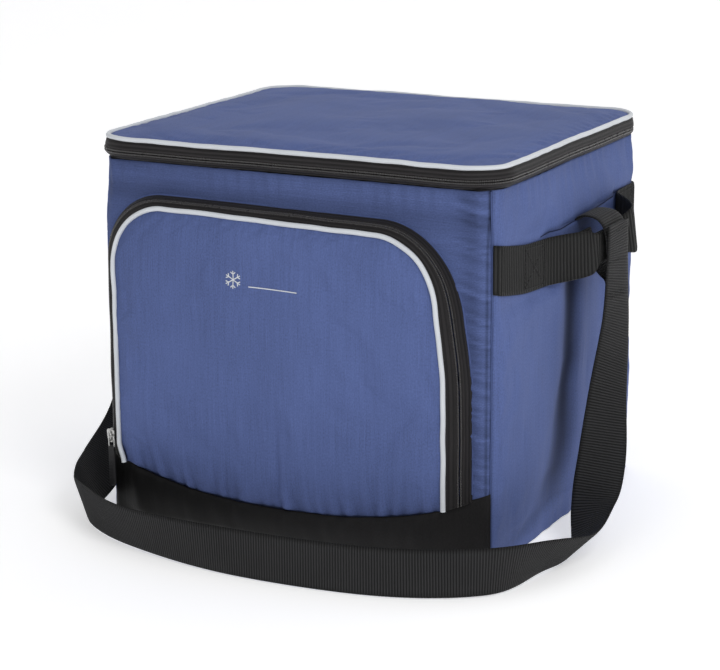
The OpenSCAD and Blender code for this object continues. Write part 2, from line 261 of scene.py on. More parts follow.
def trace(parts, step, closed=False):
    """Points and outward normals along lines and arcs in a plane, about step mm apart. A line is given by
    its two ends, and an arc by its centre, radius and two angles."""
    points, normals = [], []
    for part in parts:
        more = 0 if closed or part is not parts[-1] else 1
        if len(part) == 2:
            p, q = np.array(part, float)
            length = np.linalg.norm(q - p)
            count = max(1, round(length / step))
            k = np.arange(count + more)[:, None]
            points.append(p + (q - p) * k / count)
            normals.append(np.array([(q - p)[::-1] * (1, -1) / length] * len(k)))
        else:
            centre, radius, start, end = part
            count = max(3, round(abs(end - start) * radius / step))
            a = start + (end - start) * np.arange(count + more) / count
            normals.append(stack(np.cos(a), np.sin(a)))
            points.append(np.array(centre) + radius * normals[-1])
    return np.concatenate(points), np.concatenate(normals)


def ring_path(hx, hy, r, step):
    """Rounded rectangle in plan, anticlockwise from the back left corner's end, down the left side."""
    centres = np.array(CORNERS) * (hx - r, hy - r)
    parts = []
    for k in range(4):
        a = (k + 2) * math.pi / 2
        start = r * np.array((math.cos(a), math.sin(a)))
        parts += [(centres[k - 1] + start, centres[k] + start), (centres[k], r, a, a + math.pi / 2)]
    return trace(parts, step, closed=True)


def sweep(path, normals, section):
    """Grid of a cross-section carried along a path in plan. The section is rows of outward offset and height."""
    section = np.broadcast_to(section, (len(path),) + np.shape(section)[-2:])
    flat = path[:, None, :] + normals[:, None, :] * section[:, :, :1]
    return np.concatenate([flat, section[:, :, 1:]], -1)


def tube(points, radius, count=10, closed=False):
    """Grid of a round tube along 3D points."""
    points = np.asarray(points, float)
    if closed:
        run = unit(np.roll(points, -1, 0) - np.roll(points, 1, 0))
    else:
        run = unit(np.gradient(points, axis=0))
    side = unit(np.cross(run, (0.31, 0.2, 0.93)))  # any direction that the run is never parallel to
    up = np.cross(side, run)
    a = circle(count)[None, :, None]
    radius = np.broadcast_to(radius, len(points))[:, None, None]
    return points[:, None] + side[:, None] * np.cos(a) * radius + up[:, None] * np.sin(a) * radius


def stitches(points, out, length=2.4, gap=1.1, radius=0.28, lift=0.15):
    """Raised thread stitches along 3D points. out is the surface's outward direction at each point."""
    s = distances(points)
    out = np.broadcast_to(out, np.shape(points))
    t = np.linspace(0, 1, 5)
    rise = np.sin(np.pi * t)
    parts = []
    for start in np.arange(0.3, s[-1] - length, length + gap):
        at = start + t * length
        c = read(at, s, points) + read(at, s, out) * (rise * (lift + radius * 0.6) - radius * 0.35)[:, None]
        parts.append(grid_data(tube(c, radius * (0.45 + 0.55 * rise), 6), loop_v=True, caps=True))
    return parts


# ---------------------------------------------------------------- materials


def srgb(r, g, b):
    """Linear colour of an sRGB 0-255 triple."""
    out = []
    for c in (r, g, b):
        c /= 255
        out.append(c / 12.92 if c <= 0.04045 else ((c + 0.055) / 1.055) ** 2.4)
    return (*out, 1.0)


class Shader:
    """A node material being built."""

    def __init__(self, name):
        self.material = bpy.data.materials.new(name)
        self.material.use_nodes = True
        self.tree = self.material.node_tree
        self.bsdf = self.tree.nodes["Principled BSDF"]
        self.height = None

    def node(self, kind, inputs=None, **settings):
        n = self.tree.nodes.new("ShaderNode" + kind)
        for key, value in settings.items():
            setattr(n, key, value)
        for key, value in (inputs or {}).items():
            self.feed(n.inputs[key], value)
        return n

    def feed(self, socket, value):
        if isinstance(value, bpy.types.NodeSocket):
            self.tree.links.new(value, socket)
        else:
            socket.default_value = value

    def surface(self, **values):
        for key, value in values.items():
            self.feed(self.bsdf.inputs[key.replace("_", " ")], value)

    def uv(self, su=1.0, sv=1.0):
        """The piece's UVs, which are metres along the cloth, times a scale each way."""
        return self.node("Mapping", {"Vector": self.node("UVMap").outputs[0], "Scale": (su, sv, 1)}).outputs[0]

    def place(self, scale):
        """Position on the object in metres, times a scale."""
        where = self.node("TexCoord").outputs["Object"]
        return self.node("Mapping", {"Vector": where, "Scale": (scale,) * 3}).outputs[0]

    def noise(self, vector, detail=2.0, rough=0.5):
        inputs = {"Vector": vector, "Scale": 1.0, "Detail": detail, "Roughness": rough}
        return self.node("TexNoise", inputs).outputs["Fac"]

    def bands(self, pitch, direction="X", bend=0.0):
        """Smooth stripes across the UVs, pitch mm apart. A wave texture turns 20 radians per unit."""
        inputs = {"Vector": self.uv(), "Scale": math.pi / 10 / (pitch * MM), "Distortion": bend}
        return self.node("TexWave", inputs, wave_type="BANDS", bands_direction=direction).outputs["Fac"]

    def shadow(self, tone):
        """tone, darkened by the painted shade in the mesh's own "shade" attribute."""
        dark = self.node("Attribute", attribute_name="shade").outputs["Fac"]
        return self.math("MULTIPLY", tone, self.math("SUBTRACT", 1.0, dark))

    def math(self, operation, a, b):
        return self.node("Math", {0: a, 1: b}, operation=operation).outputs[0]

    def ramp(self, value, low, high, a=0.0, b=1.0):
        n = self.node("MapRange", {"Value": value, "From Min": low, "From Max": high, "To Min": a, "To Max": b})
        return n.outputs[0]

    def shade(self, colour, amount):
        """colour times amount, where amount is a value socket."""
        n = self.node("VectorMath", {0: tuple(colour[:3]), "Scale": amount}, operation="SCALE")
        return n.outputs[0]

    def relief(self, height, mm, strength=1.0):
        """Adds bump of the given depth under any bump already there."""
        inputs = {"Height": height, "Distance": mm * MM, "Strength": strength}
        if self.height is not None:
            inputs["Normal"] = self.height
        self.height = self.node("Bump", inputs).outputs[0]
        self.feed(self.bsdf.inputs["Normal"], self.height)


def woven(name, colour, streak=0.1, rough=0.66, spec=0.1, turned=False):
    """Plain-weave cloth with hairline streaks along its length, which is V, or U if it is turned."""
    s = Shader(name)
    way = -1 if turned else 1
    grain = s.noise(s.uv(*(1000, 620)[::way]), rough=0.6)
    fine = s.noise(s.uv(*(1100, 26)[::way]), 3.0, 0.6)
    broad = s.noise(s.uv(*(260, 7)[::way]))
    patch = s.noise(s.place(14), 3.0)
    tone = s.ramp(fine, 0.3, 0.7, 1 - streak, 1 + streak)
    for field, most in ((grain, streak * 1.5), (broad, streak * 0.35), (patch, 0.05)):
        tone = s.math("ADD", tone, s.ramp(field, 0.3, 0.7, -most, most))
    s.surface(Base_Color=s.shade(colour, s.shadow(tone)))
    s.relief(s.math("MULTIPLY", s.bands(WEAVE, "X"), s.bands(WEAVE, "Y")), 0.12, 0.4)
    s.relief(fine, 0.12, 0.5)
    s.relief(s.noise(s.place(80)), 0.5, 0.2)
    s.surface(Roughness=s.ramp(fine, 0.3, 0.7, rough - 0.06, rough + 0.06), Specular_IOR_Level=spec)
    tint = (*[min(1, c * 2.5 + 0.1) for c in colour[:3]], 1)
    s.surface(Sheen_Weight=0.02, Sheen_Roughness=0.45, Sheen_Tint=tint)
    return s.material


def ribbed(name, colour, pitch, direction, contrast=0.3, rough=0.62, depth=0.3, spec=0.3):
    """Webbing, with ribs across it, or zip tape, with ribs along it. Their yarns cross the ribs."""
    s = Shader(name)
    rib = s.bands(pitch, direction, bend=0.4)
    yarn = s.bands(0.95, "Y" if direction == "X" else "X")
    twist = s.noise(s.uv(700, 500))
    patch = s.noise(s.place(24), 3.0)
    tone = s.ramp(rib, 0.1, 0.9, 1 - contrast, 1 + contrast)
    tone = s.math("ADD", tone, s.ramp(twist, 0.25, 0.75, -0.22, 0.22))
    tone = s.math("ADD", tone, s.ramp(patch, 0.3, 0.7, -0.1, 0.1))
    s.surface(Base_Color=s.shade(colour, s.shadow(tone)))
    s.surface(Roughness=s.ramp(twist, 0.3, 0.7, rough - 0.08, rough + 0.1), Specular_IOR_Level=spec)
    s.surface(Sheen_Weight=0.06, Sheen_Roughness=0.4)
    s.relief(rib, depth, 0.7)
    s.relief(yarn, depth * 0.4, 0.5)
    s.relief(twist, 0.12, 0.5)
    return s.material


def moulded(name, colour, rough=0.45, grain=0.05, spec=0.4):
    s = Shader(name)
    grit = s.noise(s.place(700), 3.0)
    s.surface(Base_Color=s.shade(colour, s.ramp(grit, 0.2, 0.8, 0.9, 1.1)), Specular_IOR_Level=spec)
    s.surface(Roughness=s.ramp(s.noise(s.place(120)), 0.3, 0.7, rough - 0.08, rough + 0.08))
    s.relief(grit, grain, 0.6)
    return s.material


def metal(name, colour, rough=0.28):
    s = Shader(name)
    wear = s.noise(s.place(420), 4.0, 0.65)
    s.surface(Base_Color=s.shade(colour, s.ramp(wear, 0.25, 0.75, 0.82, 1.06)), Metallic=1.0)
    s.surface(Roughness=s.ramp(wear, 0.3, 0.7, rough - 0.08, rough + 0.14))
    s.relief(wear, 0.03, 0.4)
    return s.material


def foil(name):
    """Silver liner film with fine crazing."""
    s = Shader(name)
    cracks = s.node("TexVoronoi", {"Vector": s.place(1.0), "Scale": 160.0}, feature="DISTANCE_TO_EDGE")
    soft = s.noise(s.place(60), 4.0)
    s.surface(Base_Color=s.shade(srgb(205, 208, 213), s.ramp(soft, 0.2, 0.8, 0.86, 1.05)), Metallic=0.55)
    s.surface(Roughness=s.ramp(soft, 0.3, 0.7, 0.3, 0.46), Specular_IOR_Level=0.5)
    s.relief(s.ramp(cracks.outputs["Distance"], 0.0, 0.12), 0.25, 0.3)
    s.relief(soft, 1.2, 0.5)
    return s.material


def foam(name):
    s = Shader(name)
    cells = s.node("TexVoronoi", {"Vector": s.place(1.0), "Scale": 700.0}).outputs["Distance"]
    s.surface(Base_Color=s.shade(srgb(238, 239, 240), s.ramp(cells, 0.0, 0.9, 0.85, 1.03)), Roughness=0.85)
    s.relief(cells, 0.5, 0.6)
    return s.material


def cord(name):
    """Satin piping wound at a slant."""
    s = Shader(name)
    wind = s.bands(1.4, "DIAGONAL")
    dirt = s.noise(s.place(35), 3.0)
    s.surface(Base_Color=s.shade(srgb(212, 216, 221), s.ramp(dirt, 0.25, 0.75, 0.93, 1.03)), Roughness=0.5)
    s.surface(Specular_IOR_Level=0.35, Sheen_Weight=0.1)
    s.relief(wind, 0.12, 0.4)
    return s.material


BLUE = woven("blue_polyester", srgb(86, 101, 150))
BLUE_ACROSS = woven("blue_polyester_across", srgb(86, 101, 150), turned=True)
# A darker copy of the blue cloth: painted shade for the corner welts and the pocket's fold edge.
BLUE_SHADED = woven("blue_polyester_shaded", srgb(74, 88, 132), streak=0.05)
# A dark navy copy of the cloth: painted shadow for the right side's fold line.
NAVY_SHADOW = woven("navy_fold_shadow", srgb(30, 36, 64), streak=0.05)
BLACK = woven("black_polyester", srgb(25, 24, 25), streak=0.2, rough=0.6, spec=0.2)
LINING = woven("pocket_lining_cloth", srgb(50, 50, 54), streak=0.1, rough=0.7)
TAPE = ribbed("zip_tape_knit", srgb(36, 34, 35), 3.2, "Y", contrast=0.5, spec=0.2)
COIL = moulded("zip_nylon", srgb(60, 58, 58), rough=0.3, spec=0.6)
WEBBING = ribbed("strap_polypropylene", srgb(38, 38, 39), STRAP_RIB, "X", contrast=0.62, spec=0.16)
GRIP = ribbed("handle_polypropylene", srgb(33, 33, 33), GRIP_RIB, "X", contrast=0.62, spec=0.16)
THREAD = ribbed("black_thread", srgb(30, 30, 31), 0.8, "X", rough=0.5)
CORD = cord("grey_piping")
FOIL = foil("silver_film")
FOAM = foam("white_foam")
METAL = metal("zip_zinc", srgb(196, 196, 194))
RUBBER = moulded("soft_rubber", srgb(34, 34, 36), rough=0.55, grain=0.08)
BOARD = moulded("black_board", srgb(40, 40, 42), rough=0.5, grain=0.1)


# ---------------------------------------------------------------- cloth

CLOTH_STIFF = 12.0


def puff(obj, held, pressure, spare, frames, cap, out, bend=0.6):
    """Blows a sheet up with Blender's cloth solver, held at the vertices given, and keeps the result.
    spare is how much loose cloth there is; cap is how far a point may move in mm; out is the direction
    that it may not sink against."""
    scene = bpy.context.scene
    before = coordinates(obj)
    group = obj.vertex_groups.new(name="held")
    group.add([int(k) for k in held], 1.0, "REPLACE")
    cloth = obj.modifiers.new("cloth", "CLOTH")
    s = cloth.settings
    s.vertex_group_mass = "held"
    s.quality = 5
    s.mass = 0.3
    s.tension_stiffness = s.compression_stiffness = CLOTH_STIFF
    s.shear_stiffness = CLOTH_STIFF * 0.4
    s.bending_stiffness = bend
    s.use_pressure = True
    s.uniform_pressure_force = pressure
    s.shrink_min = -spare
    s.effector_weights.gravity = 0
    cloth.collision_settings.use_collision = False
    cloth.collision_settings.use_self_collision = False
    cloth.point_cache.frame_start = 1
    cloth.point_cache.frame_end = frames
    for frame_number in range(1, frames + 1):
        scene.frame_set(frame_number)
    after = coordinates(obj.evaluated_get(bpy.context.evaluated_depsgraph_get()))
    obj.modifiers.remove(cloth)
    obj.vertex_groups.remove(group)
    move = np.nan_to_num(after - before)
    length = np.linalg.norm(move, axis=1)
    move *= (cap * np.tanh(length / cap) / np.maximum(length, 1e-9))[:, None]
    move -= np.minimum(move @ np.array(out, float), 0)[:, None] * out
    obj.data.vertices.foreach_set("co", ((before + move) * MM).astype(np.float32).ravel())
    obj.data.update()
    scene.frame_set(1)


# ---------------------------------------------------------------- body walls


def wall_frame(turn):
    """Half length, distance out, and the directions along, out of a wall. turn is 0 front, 90 right,
    180 back, 270 left."""
    a, b = (HX, HY) if turn % 180 == 0 else (HY, HX)
    t = math.radians(turn)
    return a, b, np.array((math.cos(t), math.sin(t))), np.array((math.sin(t), -math.cos(t)))


def corner_radius(z):
    """The corners are sewn crisp, and open into the lid's round corners at the top."""
    return SEWN_R + 8 * ease(236, WALL_TOP - 6, z)


def wall_grid(turn, stand, step):
    """One wall from corner seam to corner seam. stand(s, z) is how far the cloth stands out at s along the
    wall and height z. Returns its points, s, z and the distance from the seam."""
    a, b, along, out = wall_frame(turn)
    z = np.linspace(FOOT, WALL_TOP, round((WALL_TOP - FOOT) / step) + 1)
    r = corner_radius(z)
    bend = math.pi / 4 * np.arange(1, 9)[:, None] / 8
    flat = np.linspace(-1, 1, round(2 * (a - 12) / step) + 1)[:, None]
    tilt = np.concatenate([-bend[::-1], flat * 0, bend])
    s = np.concatenate([flat[0] + 0 * bend, flat, flat[-1] + 0 * bend]) * (a - r) + r * np.sin(tilt)
    n = b - r + r * np.cos(tilt)
    zz = np.broadcast_to(z, s.shape)
    from_seam = a - r + r * math.sin(math.pi / 4) - np.abs(s)
    d = stand(s, zz) * ease(0, 9, from_seam) - 0.7 * bump(from_seam, 0, 0.9) + 0.3 * bump(from_seam, 2.2, 1.2)
    plan = (s + d * np.sin(tilt))[..., None] * along + (n + d * np.cos(tilt))[..., None] * out
    return raised(plan, zz), s, zz, from_seam


def loose(seed, top=0.9, edge=0.8, slow=0.9):
    """Cloth lying over foam: long soft waves, gathers under the lid and small puckers at the seams."""

    def stand(s, z, half):
        at = stack(s, z)
        d = 1.5 + slow * 0.55 * waves(at * (1, 0.7), seed, 130) + 0.3 * waves(at * (1, 0.55), seed + 1, 42)
        d += top * ease(WALL_TOP - 34, WALL_TOP - 5, z) * 0.5 * waves(stack(s, z * 0.22), seed + 2, 15)
        near_seam = (0.35 + 0.65 * ease(0, -30, s)) * bump(half - np.abs(s), 4, 11)
        d += edge * near_seam * waves(stack(s * 0.3, z), seed + 3, 12)
        d += 0.35 * ease(26, 4, z) * waves(stack(s, z * 0.4), seed + 4, 20)
        return d

    return stand


def front_stand(s, z):
    """The front wall shows only round the pocket, where its cloth dips towards the zip."""
    d = loose(11, top=1.1)(s, z, HX)
    d += 1.2 * ease(HX - 22, HX - 8, np.abs(s)) + 1.0 * ease(PK_TOP + 2, PK_TOP + 14, z)
    strip = ease(HX - 40, HX - 22, s) * ease(KICK_SEAM, KICK_SEAM + 12, z)
    d += strip * 1.6 * (gathers(z * 1.7 + 0.4 * s, 19) - 0.5)
    d -= 0.8 * bump(s, HX - 5.8, 1.0) * ease(WALL_TOP - 6, WALL_TOP - 16, z)
    return np.clip(d, 0.3, 4.5) * ease(KICK_SEAM - 2, KICK_SEAM + 14, z) + 0.3


def gathers(x, seed, pitch=15.5):
    """Puckers along a seam, narrow hills at uneven spacing."""
    x = np.asarray(x, float)
    bent = x + 3.0 * waves(x[..., None], seed, 47, 4)
    return np.abs(np.sin(bent * math.pi / pitch)) ** 1.4 * (0.75 + 0.25 * waves(x[..., None], seed + 1, 33, 5))


# Painted shade on the front wall: all over, in the strip right of the pocket, above the pocket's zip, under the
# lid's band, along the topstitch groove near the right seam, towards the left and in the corner seams. The gathers
# get painted shade in their valleys and painted light on their crests.
def front_shade(s, z, from_seam):
    near = 0.12 + 0.16 * bump(s, HX - 19, 8) * ease(KICK_SEAM, KICK_SEAM + 30, z)
    near += 0.20 * bump(z, PK_TOP + 1, 9) + 0.14 * ease(WALL_TOP - 12, WALL_TOP, z)
    near += 0.3 * ease(HX - 40, HX - 22, s) * (0.5 - gathers(z * 1.7 + 0.4 * s, 19))
    near += 0.4 * bump(s, HX - 5.8, 0.9) + 0.14 * ease(20, -HX, s)
    return near + 0.5 * bump(from_seam, 0, 0.8)


def under_handle(s, z):
    """1 where the handle's sewn ends press the cloth flat."""
    along = 1 - ease(-46, -30, s) * (1 - ease(82, 94, s))
    return along * ease(HANDLE_Z - 32, HANDLE_Z - 20, z) * ease(HANDLE_Z + 44, HANDLE_Z + 24, z)


def crease(s, z):
    """Across and depth, 0 to 1, of the fold hanging from the handle's middle towards the lower front."""
    heights = [8, 16, 24, 51, 71, 111, 133, 177, 205]
    middle = np.interp(z, heights, [-112, -81, -47, -27, -19, -13, -5, -3, -2])
    width = np.interp(z, [0, 25, 50, 110, 140, 205], [30, 26, 18, 10, 10, 9])
    depth = np.interp(z, [0, 12, 45, 100, 205, 222, 234], [0, 0.4, 0.85, 1, 1, 0.7, 0])
    return (s - middle) / width, depth


def side_fold(s, z):
    """Height of the fold line that runs straight across the side near its top, and where it fades out."""
    return 242.2 + 0.046 * (s + 44) + 0.3 * waves(s[..., None], 5, 90), ease(-64, -50, s)


def crown(s, z, half, power=5, rise=70, fall=45):
    """How far the foam bulges a wall, from 0 at its edges to 1 in its middle."""
    return (1 - np.abs(s / half) ** power) * ease(0, rise, z) * ease(WALL_TOP, WALL_TOP - fall, z)


def side_stand(s, z):
    """The right side: a padded wall with one deep fold and one fold line."""
    d = loose(23)(s, z, HY) + 3.4 * crown(s, z, HY)
    x, depth = crease(s, z)
    d -= 4.6 * depth * bump(x, 0, np.where(x > 0, 1.1, 1.5))
    d += depth * (1.3 * bump(x, 2.2, 0.9) + 0.5 * bump(x, -2.8, 1.2))
    fold, across = side_fold(s, z)
    d += across * 1.1 * (1 - ease(-0.9, 0.9, z - fold)) * np.exp(-np.clip(fold - z, 0, 60) / 16)
    d -= across * 0.6 * bump(z, fold + 1.4, 1.3)
    d += (1.0 - d) * under_handle(s, z)
    return np.clip(d, 0.15, 6.2)


# Painted shade on the right side: in the crease under the handle, along the fold line, towards the bottom, at the
# top under the lid, round the handle from its middle back, and in the corner seams.
def side_shade(s, z, from_seam):
    x, depth = crease(s, z)
    fold, across = side_fold(s, z)
    dark = 0.82 * depth**1.5 * bump(x, 0.4, np.where(x > 0.4, 0.95, 1.3))
    dark += 0.55 * across * bump(z, fold + 0.6, 1.4) + 0.08 * ease(90, 0, z) + 0.1 * ease(WALL_TOP - 14, WALL_TOP, z)
    dark += 0.25 * ease(-40, 10, s) * bump(z, HANDLE_Z + 6, 22)
    return dark + 0.45 * bump(from_seam, 0, 0.8)


def other_side_stand(s, z):
    middle = np.interp(z, [8, 60, 120, 205, 260], [58, 30, 8, -4, -4])
    depth = np.interp(z, [0, 12, 60, 120, 205, 235], [0, 1.0, 2.4, 3.4, 3.0, 0])
    d = loose(37)(s, z, HY) + 3.0 * crown(s, z, HY) - depth * bump(s, middle, 15)
    d += (1.0 - d) * under_handle(-s, z)
    return np.clip(d, 0.15, 5.6)


# Painted shade on the back and left side: towards the bottom, at the top under the lid, and in the corner seams.
def plain_shade(s, z, from_seam):
    return 0.06 * ease(80, 0, z) + 0.1 * ease(WALL_TOP - 14, WALL_TOP, z) + 0.45 * bump(from_seam, 0, 0.8)


def back_stand(s, z):
    d = loose(51, slow=1.3)(s, z, HX) + 2.4 * crown(s, z, HX, 6, 60, 50)
    return np.clip(d * (0.25 + 0.75 * ease(WALL_TOP, WALL_TOP - 26, z)), 0.15, 5.0)


def border(n, m):
    """Indices of a grid's outermost rows."""
    index = np.arange(n * m).reshape(n, m)
    return np.unique(np.concatenate([index[0], index[-1], index[:, 0], index[:, -1], index[1], index[-2]]))


for turn, name, node, stand, dark in (
    (0, "front_cloth", "front_panel", front_stand, front_shade),
    (90, "side_cloth_right", "side_panel_right", side_stand, side_shade),
    (180, "back_cloth", "back_panel", back_stand, plain_shade),
    (270, "side_cloth_left", "side_panel_left", other_side_stand, plain_shade),
):
    p, s, z, from_seam = wall_grid(turn, stand, step=1.8 if turn == 90 else 2.6)
    cloth = shade(grid_piece(name, p), dark(s, z, from_seam))
    if turn:
        out = wall_frame(turn)[3]
        puff(cloth, border(*p.shape[:2]), 0.25, spare=0.004, frames=10, cap=1.2, out=(*out, 0))
    if stand is side_stand:  # a dark navy rod lies in the fold, painted shadow of the fold line
        line = []
        for column, height in zip(coordinates(cloth).reshape(p.shape), side_fold(s, z)[0][:, 0]):
            if -62 < column[len(column) // 2, 1] < HY - 20:
                line.append([*read(height, column[:, 2], column[:, :2]), height])
        thread = rod("side_fold_shadow_line", np.array(line) - (0.1, 0, 0), 0.45)
        place(thread, "shell", NAVY_SHADOW)
    place(thick(cloth, 0.9), "shell", BLUE if turn else BLUE_ACROSS, [node])

# The folded seam that shows as a fine cord down each corner
for sx, sy in CORNERS:
    z = np.linspace(KICK_SEAM - 1 if sy < 0 else 1.0, WALL_TOP - 1, 160)
    reach = corner_radius(z) * (1 - math.sin(math.pi / 4)) + 0.35
    points = stack(sx * (HX - reach), sy * (HY - reach), z)
    points[:, :2] += 0.125 * waves(points, 71 + sx + 2 * sy, 26)[:, None]
    name = f"corner_welt_{'front' if sy < 0 else 'back'}_{'left' if sx < 0 else 'right'}"
    # painted shade: the welts take the darker, shaded copy of the blue cloth
    place(rod(name, points, 0.6), "shell", BLUE_SHADED)


# ---------------------------------------------------------------- lid


def lid_profile(path, normals, rows, back_cap=4.6):
    """Points of the zip band round the lid: rows are (out from the body's wall plane, height). At the back
    the band is pressed flat, because the lid hinges there. The whole follows the soft rim's wave."""
    out, z = np.array(rows, float).T
    flat = np.clip(normals[:, 1:2], 0, 1)
    stand = out * (1 - flat) + np.minimum(out, back_cap) * flat
    p = raised(path[:, None] + normals[:, None] * stand[..., None], z)
    return p + lid_wave(p)


def lid_wave(p):
    """How far the soft rim of the bag rises and falls, shared by everything along it."""
    lift = 0.55 * waves(p[..., :2], 91, 150) + 0.2 * waves(p[..., :2], 92, 46)
    return (lift * 0.45 - 0.2)[..., None] * (0, 0, 1)


BAND_TOP = TOP - 2 * PIPE_R + 0.4
# Rows of out and height
UPPER = [
    (6.0, ZIP_Z + 1.2), (6.15, ZIP_Z + 2.2),
    (6.0, BAND_TOP - 5.0), (5.5, BAND_TOP - 3.2), (4.9, BAND_TOP - 1.4), (3.6, BAND_TOP),
]
LOWER = np.array([(-0.9, -7.4), (0.6, -7.0), (2.6, -5.6), (4.4, -4.2), (5.6, -3.0), (6.0, -2.0), (5.95, -1.2)])
LOWER = LOWER + (0, ZIP_Z)

ring_points, ring_normals = ring_path(HX, HY, LID_R - 5, 2.0)
for half, rows, body in (("upper", UPPER, "lid"), ("lower", LOWER, "shell")):
    band = grid_piece(f"zip_band_{half}", lid_profile(ring_points, ring_normals, rows), loop_u=True)
    place(thick(band, 0.9), body, TAPE, [f"lid_zip_tape_{half}"])


def teeth_row(name, centre, out, along, body, node, pitch=1.35, height=0.95, width=1.5):
    """A row of moulded zip teeth. centre are points along it, out the direction away from the bag, along
    the direction towards the other row."""
    s = distances(centre)
    count = int(s[-1] / pitch)
    at = (np.arange(count) + 0.5) * s[-1] / count
    c, o, a = read(at, s, centre), read(at, s, out), read(at, s, along)
    t = unit(np.gradient(c, axis=0)) * pitch * 0.36
    across, rise = np.array([(-0.5, 0.0), (-0.42, 0.75), (-0.1, 1.0), (0.25, 0.95), (0.5, 0.45), (0.5, 0.0)]).T
    flank = a[:, None] * (across * width)[:, None] + o[:, None] * (rise * height)[:, None]
    verts = np.stack([c[:, None] + t[:, None] * side + flank for side in (-1, 1)], 1)  # tooth, side, ring, xyz
    m = len(across)
    faces = []
    for b in range(0, count * 2 * m, 2 * m):
        one, two = list(range(b, b + m)), list(range(b + m, b + 2 * m))
        faces += [one[::-1], two]
        faces += [[one[j - 1], one[j], two[j], two[j - 1]] for j in range(m)]
    mesh = mesh_piece(name, verts.reshape(-1, 3), faces)
    mesh.data.validate()
    return place(mesh, body, COIL, [node])


run = np.flatnonzero(ring_points[:, 1] <= COIL_BACK)
run = np.roll(run, -1 - int(np.argmax(np.diff(run))))  # in order, from the back left round the front
path, normals = ring_points[run], ring_normals[run]
for half, seat, toward, body in (
    ("upper", (6.0, ZIP_Z + 1.0), -1, "lid"),
    ("lower", (5.95, ZIP_Z - 1.0), 1, "shell"),
):
    centre = lid_profile(path, normals, [seat])[:, 0]
    out, along = raised(normals, 0), raised(np.zeros((len(path), 2)), toward)
    teeth_row(f"zip_teeth_{half}", centre, out, along, body, f"lid_zip_coil_{half}")


def filled(outline, corners, n):
    """Square grid of points inside a closed outline, anticlockwise. corners are the outline's indices that
    the grid's corners land on. Returns the points (2n+1, 2n+1, 2) and how far out each one is, 0 to 1."""
    size = len(outline)
    spans = [((corners[(k + 1) % 4] - corners[k]) % size) for k in range(4)]
    centre = (outline.min(0) + outline.max(0)) / 2
    i, j = np.meshgrid(np.arange(-n, n + 1), np.arange(-n, n + 1), indexing="ij")
    rho = np.maximum(np.abs(i), np.abs(j)) / n
    a, b = i / np.maximum(rho * n, 1e-9), j / np.maximum(rho * n, 1e-9)
    side = np.select([b <= -1 + 1e-9, a >= 1 - 1e-9, b >= 1 - 1e-9], [0, 1, 2], 3)
    share = np.choose(side, [(a + 1) / 2, (b + 1) / 2, (1 - a) / 2, (1 - b) / 2])
    at = (np.choose(side, corners) + share * np.choose(side, spans)) % size
    low = np.floor(at).astype(int) % size
    t = (at - np.floor(at))[..., None]
    edge = outline[low] * (1 - t) + outline[(low + 1) % size] * t
    return centre + rho[..., None] * (edge - centre), rho


def planar(name, p, uv_axes=(0, 1)):
    """A grid piece whose UVs are two of its coordinates."""
    verts, faces, _ = grid_data(p)
    uvs = verts[np.array(faces).ravel()][:, list(uv_axes)] * MM
    return mesh_piece(name, verts, faces, uvs)


# The lid's top: cloth over foam, pulled down into the piping and crowned in the middle
path, normals = ring_path(LID_HX - PIPE_R - 0.4, LID_HY - PIPE_R - 0.4, LID_R - PIPE_R, 2.5)
xy, rho = filled(path, nearest(path, np.array(CORNERS) * (LID_HX, LID_HY)), 60)
edge = (1 - rho) * np.minimum(LID_HX, LID_HY)
height = TOP - 1.2 - 1.6 * np.exp(-edge / 2.2) + 2.2 * ease(0, 26, edge) + 2.4 * ease(10, 130, edge)
height += 0.4 * waves(xy * (0.8, 1), 101, 120) * ease(6, 50, edge) + 0.28 * bump(edge, 7, 7) * waves(xy, 102, 16)
p = raised(xy, height)
p += lid_wave(p) * (1 - ease(0, 60, edge))[..., None]
lid_cloth = planar("lid_cloth", p)
puff(lid_cloth, np.flatnonzero(rho > 0.985), 0.35, spare=0.006, frames=14, cap=2.0, out=(0, 0, 1))
place(thick(lid_cloth, 1.0), "lid", BLUE, ["lid_panel"])

# Piping round the lid
path, normals = ring_path(LID_HX - PIPE_R, LID_HY - PIPE_R, LID_R - PIPE_R, 2.0)
line = raised(path, TOP - PIPE_R)
line += lid_wave(line)
line[:, 2] += 0.12 * waves(line, 111, 22)
piping = tube(line, PIPE_R + 0.2 + 0.06 * waves(line, 112, 30), 14, closed=True)
place(grid_piece("lid_piping_cord", piping, loop_u=True, loop_v=True), "lid", CORD, ["lid_piping"])


# ---------------------------------------------------------------- front pocket

# The pocket's outline in x and z: along the piping, and where its zip tape meets the wall. Its right side
# leans in towards the top, and its piping curls in at the bottom left.
PK_LEFT, PK_RIGHT = PK_X - PK_HALF, PK_X + PK_HALF
PK_STEPS = 330


def pocket_outline(left, right, low, top, r_left, r_right, lean, curl, droop):
    q = math.pi / 2
    path, _ = trace(
        [
            ((right, low), (right, top - r_right)),
            ((right - r_right, top - r_right), r_right, 0, q),
            ((right - r_right, top), (left + r_left, top)),
            ((left + r_left, top - r_left), r_left, q, 2 * q),
            ((left, top - r_left), (left, low)),
        ],
        1.0,
    )
    path[:, 0] -= ease(PK_X, right, path[:, 0]) * lean * ease(135, 222, path[:, 1])
    path[:, 1] -= droop * ease(PK_LEFT + 40, right, path[:, 0]) * ease(60, 150, path[:, 1])
    path[:, 0] += (1 - ease(low, low + 18, path[:, 1])) * curl * ease(PK_X, left, path[:, 0])
    s = distances(path)
    return read(np.linspace(0, s[-1], PK_STEPS), s, path)


PIPING_LINE = pocket_outline(PK_LEFT + 9, PK_RIGHT - 13.5, KICK_SEAM - 10.5, PK_TOP - 8.8, 47, 52, 7, 4, 4.5)
ZIP_LINE = pocket_outline(PK_LEFT - 4.5, PK_RIGHT + 4, KICK_SEAM - 5, PK_TOP - 1, 52, 70, 9, 1.0, 2.5)


